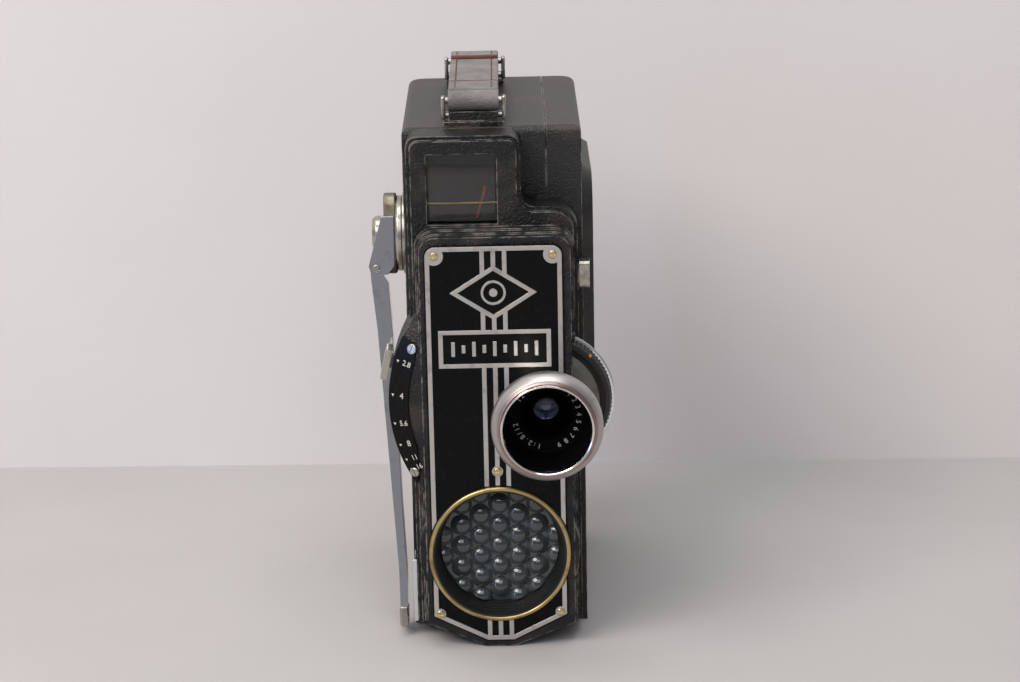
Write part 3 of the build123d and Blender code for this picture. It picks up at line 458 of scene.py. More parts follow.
@dataclass(frozen=True)
class StrapLeather:
    """Cowhide strap: pebbled grain, pale rubbed high spots, creases darkened with painted shade, and reddish
    raw edges.
    """

    name: str
    grain_colour: str
    # crease: colour of the painted shade in the creases
    crease: str
    rubbed: str
    pebble: float = 0.8         # width of one pebble of the grain, mm
    roughness: float = 0.62

    def build(self) -> bpy.types.Material:
        """Make the material.

        Returns:
            The material, ready to assign.
        """
        material, tree, shader, place = start_material(self.name, {"IOR": 1.46, "Sheen Weight": 0.15})
        pebbles = add_node(
            tree, "ShaderNodeTexVoronoi", {"feature": "SMOOTH_F1", "Scale": per_mm(self.pebble)},
            {"Vector": place}
        )
        fibres = add_node(
            tree, "ShaderNodeTexNoise", {"Scale": per_mm(0.4), "Detail": 6.0}, {"Vector": place},
        )
        across = add_node(tree, "ShaderNodeMapping", {"Scale": (0.45, 1.0, 1.0)}, {"Vector": place})
        creases = add_node(
            tree, "ShaderNodeTexNoise", {"Scale": per_mm(2.6), "Detail": 4.0, "Roughness": 0.6},
            {"Vector": across.outputs[0]}
        )
        # Painted shade: the low creases are darkened towards the crease colour
        deep = add_node(
            tree, "ShaderNodeMapRange", {"From Min": 0.22, "From Max": 0.34}, {"Value": creases.outputs[0]},
        )
        patches = add_node(
            tree, "ShaderNodeTexNoise", {"Scale": per_mm(5.0), "Detail": 6.0}, {"Vector": place},
        )
        pale = add_node(
            tree, "ShaderNodeMapRange", {"From Min": 0.3, "From Max": 0.9}, {"Value": patches.outputs[0]},
        )
        hide = add_node(
            tree, "ShaderNodeMix",
            {"data_type": "RGBA", MIX_A: linear(self.grain_colour), MIX_B: linear(self.rubbed)},
            {0: pale.outputs[0]},
        )
        colour = add_node(
            tree, "ShaderNodeMix", {"data_type": "RGBA", MIX_A: linear(self.crease)},
            {0: deep.outputs[0], MIX_B: hide.outputs[MIX_OUT]},
        )
        relief = add_node(
            tree, "ShaderNodeMath", {"operation": "MULTIPLY_ADD", 1: -0.7},
            {0: pebbles.outputs["Distance"], 2: fibres.outputs[0]}
        )
        relief = add_node(
            tree, "ShaderNodeMath", {"operation": "ADD"}, {0: relief.outputs[0], 1: deep.outputs[0]},
        )
        bump = add_node(
            tree, "ShaderNodeBump", {"Strength": 0.9, "Distance": 0.3 * MM}, {"Height": relief.outputs[0]},
        )
        tree.links.new(colour.outputs[MIX_OUT], shader.inputs["Base Color"])
        tree.links.new(bump.outputs[0], shader.inputs["Normal"])
        shader.inputs["Roughness"].default_value = self.roughness
        return material


Finish = CrackleEnamel | AgedMetal | SmoothLacquer | OpticalGlass | MouldedGlass | StrapLeather

CRACKLE = CrackleEnamel()
# The case and its door get a finer wrinkle and a greyer skin; the greyer skin is painted sheen for the light
# that the case's top reflects
CASE_CRACKLE_PAINTED_SHEEN = CrackleEnamel(
    name="crackle_enamel_painted_sheen", skin="#222221", dust="#453d33", wrinkle=0.5, relief=0.6,
)
# Etched plate filled with glossy stoving enamel, its raised lines left as polished nickel silver
PLATE_ENAMEL = SmoothLacquer("stoved_black_enamel", "#080809", roughness=0.14, dusty=0.1, specular=0.12)
PLATE_SILVER = AgedMetal("polished_nickel_silver", "#c9c8c4", "#8d887c", 0.34, grain_depth=0.05, soiled=0.25)
SCALE_ENAMEL = SmoothLacquer("scale_black_enamel", "#0a0a0a", roughness=0.2, dusty=0.12, specular=0.15)
# Brass lacquered and gone dull
BRASS = AgedMetal("lacquered_brass", "#b08d4c", "#5c4525", 0.32, soiled=0.5, edge="#dcc07c")
SCREW_BRASS = AgedMetal(
    "nickelled_brass_screw", "#cdbb93", "#8a6f45", 0.25, soiled=0.4, patch=1.2, edge="#f0e2b8",
)
RING_BRASS = AgedMetal(
    "tarnished_brass_ring", "#c2ab78", "#6a5838", 0.3, Lay.TURNED, axis=(0.0, 29.5), soiled=0.5,
    edge="#e9dcae"
)
STEEL = AgedMetal("ground_steel", "#8f9092", "#4a4642", 0.34, grain_depth=0.15)
NICKEL = AgedMetal("nickel_plate", "#b9b5ab", "#6c6557", 0.26, soiled=0.4)
CHROME = AgedMetal("bright_chrome_plate", "#dfe1e4", "#9a9690", 0.07, grain_depth=0.02, soiled=0.15)
# Satin chrome is blasted before plating, then turned marks show at its lip
SATIN_CHROME = AgedMetal(
    "satin_chrome_plate", "#b7b5b2", "#7f7b74", 0.38, Lay.TURNED, grain_depth=0.12, soiled=0.2,
)
POLISHED_LIP = AgedMetal(
    "polished_chrome_lip", "#e4e2da", "#a9a08c", 0.12, Lay.TURNED, grain_depth=0.04, soiled=0.1,
)
COPPER_RING = AgedMetal("worn_copper_underplate", "#a88a86", "#5f4a46", 0.3, Lay.TURNED, soiled=0.3)
GREY_RING = AgedMetal("satin_grey_chrome_ring", "#77776f", "#47453e", 0.42, Lay.TURNED, soiled=0.35)
WORN_BRASS = AgedMetal(
    "worn_plate_over_brass", "#8f8a7b", "#5b4630", 0.4, soiled=0.85, patch=4.0, edge="#c3b48f",
)
# Brass chemically blacked
BLACKED = SmoothLacquer("blacked_brass", "#141413", roughness=0.34, dusty=0.2)
FLAT_BLACK = SmoothLacquer("matt_black_lining", "#030304", roughness=0.6, dusty=0.02, specular=0.08)
RED_PAINT = SmoothLacquer("red_needle_paint", "#c2161b", dust="#7a2b22", roughness=0.4, dusty=0.1)
WHITE_PAINT = SmoothLacquer("white_engraving_fill", "#d8d6cc", dust="#8f8a7c", roughness=0.5, dusty=0.5)
AMBER_PAINT = SmoothLacquer("amber_index_fill", "#b87420", roughness=0.4)
CLEAR_GLASS = OpticalGlass("clear_window_glass", "#eef2f0")
LENS_GLASS = OpticalGlass("bluish_lens_glass", "#b9c4e6", ior=1.62)
CELL_GLASS = MouldedGlass()
SELENIUM = AgedMetal(
    "selenium_layer", "#4b5356", "#2c2f31", 0.42, grain=0.5, grain_depth=0.1, soiled=0.6, patch=9.0,
)
# The second colour of each leather is painted shade for its creases
LEATHER = StrapLeather("grey_strap_leather", "#5f5c59", "#2a2523", "#8d8985")
RAW_EDGE = StrapLeather("raw_leather_edge", "#5b342a", "#2e1a15", "#7d4a3b", pebble=0.5)
THREAD = SmoothLacquer("waxed_brown_thread", "#5a3a2f", roughness=0.7)
FILM_BOX = SmoothLacquer("cassette_lacquer", "#2a2a2c", roughness=0.35)

BUILT: dict[str, bpy.types.Material] = {}


def material_of(finish: Finish) -> bpy.types.Material:
    """The material of a finish, made once.

    Args:
        finish: Finish to look up.

    Returns:
        Its material.
    """
    if finish.name not in BUILT:
        BUILT[finish.name] = finish.build()
    return BUILT[finish.name]


def dress(finish: Finish, *nodes: str) -> None:
    """Give CAD nodes a finish.

    Args:
        finish: Finish to use.
        nodes: Names of the nodes.
    """
    for name in nodes:
        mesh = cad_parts[name].data
        mesh.materials.clear()
        mesh.materials.append(material_of(finish))
        LOG.info("dressed %s in %s", name, finish.name)


def to_piece(name: str, mesh: bmesh.types.BMesh, finish, body: str, nodes: tuple[
    str, ...,
] = (),
             crease: float = 32.0, extra: tuple = ()) -> bpy.types.Object:
    """Turn a bmesh in millimetres into a finished piece that rides on a body.

    Args:
        name: Name of the piece.
        mesh: Its shape, which is used up.
        finish: Its finish.
        body: Body it rides on.
        nodes: CAD nodes that it stands for.
        crease: Edges sharper than this angle stay sharp, degrees.
        extra: Further finishes for faces with material index 1 and on.

    Returns:
        The piece.
    """
    bmesh.ops.scale(mesh, vec=(MM,) * 3, verts=mesh.verts)
    data = bpy.data.meshes.new(name)
    mesh.to_mesh(data)
    mesh.free()
    data.shade_smooth()
    data.set_sharp_from_angle(angle=math.radians(crease))
    for each in (finish, *extra):
        data.materials.append(material_of(each))
    piece = bpy.data.objects.new(name, data)
    bpy.context.scene.collection.objects.link(piece)
    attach(piece, body)
    if nodes:
        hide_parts(*nodes)
    LOG.info("built %s, %d faces, on %s", name, len(data.polygons), body)
    return piece


def soften(piece: bpy.types.Object, width: float, segments: int = 2) -> None:
    """Round a piece's sharp edges with a live bevel.

    Args:
        piece: Piece to round.
        width: Width of the rounding, mm.
        segments: Facets across it.
    """
    bevel = piece.modifiers.new("edge_round", "BEVEL")
    bevel.width = width * MM
    bevel.segments = segments
    bevel.limit_method = "ANGLE"
    bevel.angle_limit = math.radians(32)
    bevel.harden_normals = True


def turned(
    at: tuple[float, float], profile: list[tuple[float, float]], steps: int = 128,
) -> bmesh.types.BMesh:
    """Spin a closed outline about a Y axis.

    Args:
        at: The axis in (x, z).
        profile: Corners as (radius, distance in front of the origin), in order round the section.
        steps: Facets round the turn.

    Returns:
        A closed ring or disc, in millimetres.
    """
    mesh = bmesh.new()
    corners = [mesh.verts.new((at[0] + radius, -front, at[1])) for radius, front in profile]
    edges = [mesh.edges.new(pair) for pair in zip(corners, corners[1:] + corners[:1])]
    bmesh.ops.spin(
        mesh, geom=corners + edges, cent=(at[0], 0, at[1]), axis=(0, 1, 0), angle=2 * math.pi, steps=steps,
        use_merge=True, use_duplicate=False,
    )
    bmesh.ops.remove_doubles(mesh, verts=mesh.verts, dist=1e-4)
    bmesh.ops.recalc_face_normals(mesh, faces=mesh.faces)
    return mesh


def copied(node: str) -> bmesh.types.BMesh:
    """A merged copy of a CAD node's mesh.

    Args:
        node: Name of the node.

    Returns:
        The copy, in millimetres and without stored normals.
    """
    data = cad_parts[node].data.copy()
    for name in ("custom_normal", "sharp_edge", "sharp_face"):
        if name in data.attributes:
            data.attributes.remove(data.attributes[name])
    mesh = bmesh.new()
    mesh.from_mesh(data)
    bpy.data.meshes.remove(data)
    bmesh.ops.scale(mesh, vec=(1 / MM,) * 3, verts=mesh.verts)
    bmesh.ops.remove_doubles(mesh, verts=mesh.verts, dist=1e-3)
    bmesh.ops.dissolve_limit(mesh, angle_limit=math.radians(0.5), verts=mesh.verts, edges=mesh.edges)
    return mesh


def lettering(text: str, size: float, depth: float, place: Matrix) -> bmesh.types.BMesh:
    """Numerals as thin solid shapes.

    Args:
        text: Numerals to set.
        size: Height of the line, mm.
        depth: Thickness, mm.
        place: Where the middle of the text goes, in millimetres.

    Returns:
        The shapes, in millimetres.
    """
    curve = bpy.data.curves.new("numerals", "FONT")
    curve.body = text
    curve.size = size
    curve.extrude = depth / 2
    curve.resolution_u = 3
    curve.align_x = "CENTER"
    curve.align_y = "CENTER"
    holder = bpy.data.objects.new("numerals", curve)
    bpy.context.scene.collection.objects.link(holder)
    bpy.context.view_layer.update()
    mesh = bmesh.new()
    mesh.from_mesh(bpy.data.meshes.new_from_object(holder))
    bpy.data.objects.remove(holder)
    bmesh.ops.transform(mesh, matrix=place, verts=mesh.verts)
    return mesh


def joined(meshes: list[bmesh.types.BMesh]) -> bmesh.types.BMesh:
    """Put several meshes into one.

    Args:
        meshes: Meshes to join, which are used up.

    Returns:
        One mesh that holds them all.
    """
    whole = bmesh.new()
    for mesh in meshes:
        part = bpy.data.meshes.new("part")
        mesh.to_mesh(part)
        mesh.free()
        whole.from_mesh(part)
        bpy.data.meshes.remove(part)
    return whole


def boxed(low: tuple[float, float, float], high: tuple[float, float, float], round_by: float = 0.0,
          segments: int = 3) -> bmesh.types.BMesh:
    """A block between two corners with rounded edges.

    Args:
        low: Lowest corner, mm.
        high: Highest corner, mm.
        round_by: Radius of its edges, mm.
        segments: Facets round an edge.

    Returns:
        The block, in millimetres.
    """
    mesh = bmesh.new()
    bmesh.ops.create_cube(mesh, size=1.0)
    size = [b - a for a, b in zip(low, high)]
    bmesh.ops.scale(mesh, vec=size, verts=mesh.verts)
    bmesh.ops.translate(mesh, vec=[(a + b) / 2 for a, b in zip(low, high)], verts=mesh.verts)
    if round_by:
        bmesh.ops.bevel(
            mesh, geom=list(mesh.edges), offset=round_by, offset_type="OFFSET", segments=segments,
            profile=0.5,
            affect="EDGES", material=-1,
        )
    return mesh


# ---------------------------------------------------------------- camera, floor and light


@dataclass
class Studio:
    """Pale table against a pale wall, a large soft window light and the camera."""

    wall_at: float = 0.1165
    wall_turn: float = 0.033        # the wall comes nearer by this much per metre to the right
    reach: float = 3.0
    eye: tuple[float, float, float] = (0.0042, -0.8455, 0.3183)
    pitch: float = 15.87
    roll: float = 1.18
    lens: float = 100.7

    def surface(self, name: str, colour: str, shade: str) -> bpy.types.Material:
        """Painted board with a faint mottle.

        Args:
            name: Name of the material.
            colour: sRGB hex.
            shade: sRGB hex of the mottle.

        Returns:
            The material.
        """
        material, tree, shader, place = start_material(name, {"Roughness": 0.85, "Specular IOR Level": 0.2})
        noise = add_node(
            tree, "ShaderNodeTexNoise", {"Scale": per_mm(60.0), "Detail": 5.0}, {"Vector": place},
        )
        mixed = add_node(
            tree, "ShaderNodeMix", {"data_type": "RGBA", MIX_A: linear(colour), MIX_B: linear(shade)},
            {0: noise.outputs[0]},
        )
        tree.links.new(mixed.outputs[MIX_OUT], shader.inputs["Base Color"])
        return material

    def board(self, name: str, corners: tuple, material: bpy.types.Material) -> None:
        """One flat board.

        Args:
            name: Name of the board.
            corners: Its four corners, metres.
            material: Material of the board.
        """
        mesh = bmesh.new()
        mesh.faces.new([mesh.verts.new(corner) for corner in corners])
        data = bpy.data.meshes.new(name)
        mesh.to_mesh(data)
        mesh.free()
        data.materials.append(material)
        board = bpy.data.objects.new(name, data)
        bpy.context.scene.collection.objects.link(board)

    def lamp(
        self, name: str, at: tuple, aim: tuple, size: tuple[float, float], power: float, colour: str,
    ) -> None:
        """One rectangular soft light.

        Args:
            name: Name of the light.
            at: Its place, metres.
            aim: Point that it faces, metres.
            size: Width and height, metres.
            power: Watts.
            colour: sRGB hex.
        """
        light = bpy.data.lights.new(name, "AREA")
        light.shape = "RECTANGLE"
        light.size, light.size_y = size
        light.energy = power
        light.color = linear(colour)[:3]
        lamp = bpy.data.objects.new(name, light)
        lamp.location = at
        lamp.rotation_euler = (Vector(aim) - Vector(at)).to_track_quat("-Z", "Y").to_euler()
        bpy.context.scene.collection.objects.link(lamp)

    def build(self) -> None:
        """Set up the floor, the wall, the lights and the camera."""
        far = self.reach
        floor = self.surface("pale_table_board", "#b8b6b5", "#b0aeac")
        wall = self.surface("pale_wall_paint", "#dedbda", "#d8d5d3")
        self.board("table", ((-far, -far, 0), (far, -far, 0), (far, far, 0), (-far, far, 0)), floor)
        back = self.wall_at
        near = back - self.wall_turn * far
        back = back + self.wall_turn * far
        self.board(
            "wall", ((-far, back, -0.001), (far, near, -0.001), (far, near, far), (-far, back, far)), wall,
        )
        self.lamp("window_light", (-0.9, -0.9, 1.25), (0, 0, 0.08), (1.0, 0.8), 20.0, "#fff4ea")
        self.lamp("front_fill", (-0.1, -1.3, 1.15), (0, 0, 0.08), (1.1, 0.9), 7.5, "#eef3ff")
        self.lamp("top_light", (0.0, -0.1, 1.3), (0, 0, 0.1), (0.9, 0.6), 6.0, "#ffffff")
        self.lamp("blue_strip", (-1.1, -0.9, 0.25), (0, 0, 0.08), (0.12, 0.9), 2.2, "#9fc0ff")
        bpy.context.scene.view_settings.view_transform = "Standard"
        world = bpy.data.worlds.new("soft_room")
        world.use_nodes = True
        world.node_tree.nodes["Background"].inputs["Color"].default_value = linear("#dcd8de")
        world.node_tree.nodes["Background"].inputs["Strength"].default_value = 0.36
        bpy.context.scene.world = world
        data = bpy.data.cameras.new("camera_view")
        data.lens = self.lens
        data.sensor_width = 36.0
        data.clip_start = 0.01
        camera = bpy.data.objects.new("camera_view", data)
        turn = Matrix.Rotation(
            math.radians(90 - self.pitch), 4, "X",
        ) @ Matrix.Rotation(math.radians(-self.roll), 4, "Z")
        camera.matrix_world = Matrix.Translation(self.eye) @ turn
        bpy.context.scene.collection.objects.link(camera)
        bpy.context.scene.camera = camera


# ---------------------------------------------------------------- case


@dataclass
class CaseAndHousing:
    """Die-cast case, its door and the front housing."""

    def dress(self) -> None:
        """Enamel the castings and plate their fittings."""
        # The case and door wear the enamel whose greyer skin is painted sheen
        dress(CASE_CRACKLE_PAINTED_SHEEN, "body_case", "door")
        dress(CRACKLE, "front_casting", "strap_anchors")
        dress(BLACKED, "hinge_leaf_case", "hinge_leaf_door", "shoulder_screw")
        dress(STEEL, "hinge_pin")
        dress(NICKEL, "door_lock")
        dress(BRASS, "tripod_bush")


# ---------------------------------------------------------------- nameplate


@dataclass
class Nameplate:
    """Enamelled plate with raised bright lines and plain generic ornaments."""

    face: float = 57.3          # distance of the enamel in front of the origin
    line: float = 0.2           # height of the bright lines
    badge_at: tuple[float, float] = (-0.3, 108.7)
    panel_at: tuple[float, float] = (-0.2, 92.0)

    def plate(self) -> None:
        """The plate, its lines in bright metal and the rest in enamel."""
        mesh = copied("nameplate")
        for face in mesh.faces:
            if face.calc_center_median().y < -self.face - 0.02:
                face.material_index = 1
        to_piece(
            "nameplate_face", mesh, PLATE_ENAMEL, "camera", ("nameplate",), 20,
            (PLATE_SILVER,),
        )

    def badge(self) -> bmesh.types.BMesh:
        """A plain ring and dot inside the upper frame.

        Returns:
            The ornament, in millimetres.
        """
        front = self.face + self.line
        ring = turned(
            self.badge_at, [(2.9, front), (3.6, front), (3.6, self.face - 0.05), (2.9, self.face - 0.05)], 64,
        )
        dot = turned(
            self.badge_at, [(0.0, front), (1.2, front), (1.2, self.face - 0.05), (0.0, self.face - 0.05)], 48,
        )
        return joined([ring, dot])

    def panel(self) -> bmesh.types.BMesh:
        """A row of rounded bars inside the lower frame.

        Returns:
            The bars, in millimetres.
        """
        bars = []
        for step in range(9):
            x = self.panel_at[0] + (step - 4) * 3.0
            half = 2.2 if step % 2 == 0 else 1.2
            bars.append(
                boxed(
                    (x - 0.55, -self.face - self.line, self.panel_at[1] - half),
                    (x + 0.55, -self.face + 0.05, self.panel_at[1] + half), 0.08, 1,
                )
            )
        return joined(bars)

    def build(self) -> None:
        """Build the plate with its ornaments and screws."""
        self.plate()
        ornaments = joined([self.badge(), self.panel()])
        to_piece("nameplate_ornaments", ornaments, PLATE_SILVER, "camera", (), 20)
        dress(SCREW_BRASS, "nameplate_screws")


# ---------------------------------------------------------------- lens


@dataclass
class LensUnit:
    """Lens with its flared hood, the setting wheel behind it and their rims."""

    axis: tuple[float, float] = (14.2, 75.0)
    wheel_radius: float = 19.5
    beads: int = 96
    numeral_reach: float = 9.2      # radius that the engraving stands on
    name_face: float = 68.6         # distance of the engraved face

    def barrel(self) -> None:
        """Satin outside, copper-coloured ring and polished lip."""
        outside = [
            (4.45, 46.0), (8.0, 46.0), (8.0, 49.6), (9.5, 49.6), (9.5, 57.8), (10.6, 61.0), (12.4, 67.5),
            (13.5, 71.5), (15.3, 75.6), (15.75, 76.6), (15.9, 77.0), (15.9, 79.1), (15.7, 79.7), (15.0, 81.2),
        ]
        inside = [
            (13.15, 82.0), (12.8, 82.3), (12.5, 79.0), (11.5, 71.0), (11.3, 68.0), (7.6, 68.0), (7.6, 58.9),
            (4.45, 58.9),
        ]
        mesh = turned(self.axis, outside + [(14.2, 82.0), (13.9, 81.6)] + inside)
        to_piece("lens_barrel_shell", mesh, SATIN_CHROME, "camera", ("lens_barrel",), 40)
        groove = turned(self.axis, [(13.2, 81.3), (14.25, 81.5), (14.1, 82.2), (13.55, 82.55), (13.1, 82.2)])
        to_piece("lens_inner_ring", groove, COPPER_RING, "camera", (), 40)
        lip = turned(
            self.axis,
            [(12.7, 80.8), (13.25, 81.8), (13.3, 82.7), (13.0, 83.0), (12.65, 82.8), (12.45, 81.0)],
        )
        to_piece("lens_lip", lip, POLISHED_LIP, "camera", (), 40)

    def hood(self) -> None:
        """Black funnel with stepped baffles and a dished seat for the front glass."""
        steps = []
        for step in range(6):
            front = 79.6 - step * 1.8
            radius = 12.3 - step * 0.2
            steps += [(radius, front), (radius - 0.28, front - 0.9)]
        seat = [
            (11.0, 68.7), (10.7, 68.6), (7.6, 68.6), (7.3, 68.3), (6.6, 65.4), (5.4, 62.5), (4.6, 61.2),
            (3.7, 60.9),
        ]
        back = [
            (3.7, 59.0), (7.55, 59.0), (7.55, 68.05), (11.25, 68.05), (11.45, 71.0), (12.45, 79.0),
            (12.6, 80.6),
        ]
        mesh = turned(self.axis, steps + seat + back + [(12.35, 80.6)])
        to_piece("lens_hood_lining", mesh, FLAT_BLACK, "camera", ("lens_hood",), 40)

    def engraving(self) -> None:
        """White numerals round the glass."""
        marks = []
        signs = [("1:2.8/12", -104.0, 8.6), ("1 2 3 4 5 6 7 8 9", 44.0, 7.0), ("12", 148.0, 9.0)]
        for text, angle, step in signs:
            for place, letter in enumerate(text):
                if letter == " ":
                    continue
                turn = math.radians(angle - place * step)
                where = Vector(
                    (self.axis[0] + self.numeral_reach * math.cos(turn), -self.name_face - 0.06,
                     self.axis[1] + self.numeral_reach * math.sin(turn))
                )
                spin = Matrix.Rotation(math.pi / 2, 4, "X") @ Matrix.Rotation(turn - math.pi / 2, 4, "Z")
                marks.append(lettering(letter, 2.1, 0.1, Matrix.Translation(where) @ spin))
        to_piece("lens_numerals", joined(marks), WHITE_PAINT, "camera", ())

    def glass(self) -> None:
        """Front element with a real curve, over the dark inside of the barrel."""
        half, depth = math.radians(40), 1.7
        rise = []
        for step in range(9):
            turn = half * (1 - step / 8)
            sag = (math.cos(turn) - math.cos(half)) / (1 - math.cos(half))
            rise.append((4.4 * math.sin(turn) / math.sin(half), 59.4 + depth * sag))
        shapes = [turned(self.axis, [(0.0, 56.2), (4.4, 56.2)] + rise, 96)]
        for near, far in ((51.8, 50.2), (49.4, 46.6)):
            shapes.append(turned(self.axis, [(0.0, far), (4.4, far), (4.4, near), (0.0, near + 0.8)], 64))
        to_piece("lens_glasses", joined(shapes), LENS_GLASS, "camera", ("lens_elements",), 40)

    def wheel(self) -> None:
        """Setting wheel with a beaded edge, a satin collar and a polished rim behind it."""
        radius = self.wheel_radius
        body = turned(
            self.axis,
            [
                (9.9, 51.2), (radius - 0.5, 51.2), (radius - 0.5, 53.3), (radius - 0.9, 54.0), (17.4, 54.2),
                (17.2, 53.4), (16.7, 53.4), (16.5, 54.1), (16.2, 54.1), (16.0, 53.6), (15.7, 53.6),
                (9.9, 53.6),
            ],
        )
        beads = []
        for step in range(self.beads):
            turn = 2 * math.pi * step / self.beads
            bead = bmesh.new()
            bmesh.ops.create_uvsphere(bead, u_segments=8, v_segments=6, radius=0.42)
            bmesh.ops.scale(bead, vec=(1, 2.2, 1), verts=bead.verts)
            at = (
                self.axis[0] + (radius - 0.52) * math.cos(turn), -52.3,
                self.axis[1] + (radius - 0.52) * math.sin(turn),
            )
            bmesh.ops.translate(bead, vec=at, verts=bead.verts)
            beads.append(bead)
        to_piece(
            "setting_wheel_beaded", joined([body, *beads]), BLACKED, "wheel", ("setting_wheel",),
            40,
        )
        collar = turned(self.axis, [(9.9, 53.5), (15.65, 53.5), (15.6, 54.7), (15.2, 55.0), (9.9, 55.0)])
        to_piece("setting_wheel_collar", collar, GREY_RING, "wheel", (), 40)
        rim = turned(
            self.axis, [(13.0, 50.0), (20.0, 50.0), (20.3, 50.3), (20.3, 50.8), (19.95, 51.2), (13.0, 51.2)],
        )
        to_piece("wheel_rim_polished", rim, CHROME, "wheel", ("wheel_rim",), 40)
        dot = turned((21.6, 83.9), [(0.0, 55.15), (0.4, 55.15), (0.45, 54.9), (0.0, 54.9)], 24)
        amber = turned((27.3, 88.3), [(0.0, 54.2), (0.4, 54.2), (0.45, 53.6), (0.0, 53.6)], 24)
        to_piece("wheel_white_dot", dot, WHITE_PAINT, "wheel", ())
        to_piece("wheel_amber_dot", amber, AMBER_PAINT, "wheel", ())

    def build(self) -> None:
        """Build the lens."""
        self.barrel()
        self.hood()
        self.engraving()
        self.glass()
        self.wheel()
        dress(STEEL, "iris_blades")


# ---------------------------------------------------------------- aperture scale


@dataclass
class ApertureScale:
    """Enamelled band with its stops, end screws and the knurled tab."""

    axis: tuple[float, float] = (14.2, 75.0)
    reach: float = 41.8             # radius of the numerals
    slope: float = math.degrees(math.atan2(3.2, 5.7))
    stops: tuple[tuple[str, float], ...] = (
        ("2.8", 16.7), ("4", 3.3), ("5.6", -8.1), ("8", -16.8), ("11", -23.0), ("16", -27.2)
    )

    def on_band(self, angle: float, reach: float, lift: float) -> Matrix:
        """Frame on the band: X runs outwards, Z stands off the surface.

        Args:
            angle: Degrees above level, on the left of the axis.
            reach: Radius, mm.
            lift: Height over the enamel, mm.

        Returns:
            The frame's matrix in millimetres.
        """
        turn = math.radians(angle)
        tip = math.radians(self.slope)
        front = 55.4 - (reach - 39.9) * math.tan(tip) + lift
        outwards = Vector((-math.cos(turn), 0, math.sin(turn)))
        normal = Vector((0, -1, 0)) * math.cos(tip) + outwards * math.sin(tip)
        along = outwards * math.cos(tip) + Vector((0, 1, 0)) * math.sin(tip)
        side = normal.cross(along)
        frame_of = Matrix((along, side, normal)).transposed().to_4x4()
        centre = Vector((self.axis[0], 0, self.axis[1])) + outwards * reach + Vector((0, -front, 0))
        return Matrix.Translation(centre) @ frame_of

    def marks(self) -> None:
        """Numerals, upright to the eye, and a pointer at each stop."""
        shapes = []
        for text, angle in self.stops:
            inwards = Matrix.Rotation(math.pi, 4, "Z")
            size = 2.3 if len(text) > 1 else 2.6
            shapes.append(lettering(text, size, 0.08, self.on_band(angle, self.reach, 0.04) @ inwards))
            pointer = bmesh.new()
            bmesh.ops.create_cone(pointer, cap_ends=True, segments=3, radius1=0.5, radius2=0.5, depth=0.08)
            bmesh.ops.transform(
                pointer, matrix=self.on_band(angle, self.reach + 2.6, 0.04), verts=pointer.verts,
            )
            shapes.append(pointer)
        to_piece("aperture_numerals", joined(shapes), WHITE_PAINT, "camera", ())

    def build(self) -> None:
        """Dress the band and mark it."""
        dress(SCALE_ENAMEL, "scale_plate")
        dress(NICKEL, "scale_screws", "aperture_tab")
        dress(STEEL, "aperture_lever")
        self.marks()


# ---------------------------------------------------------------- light cell and meter


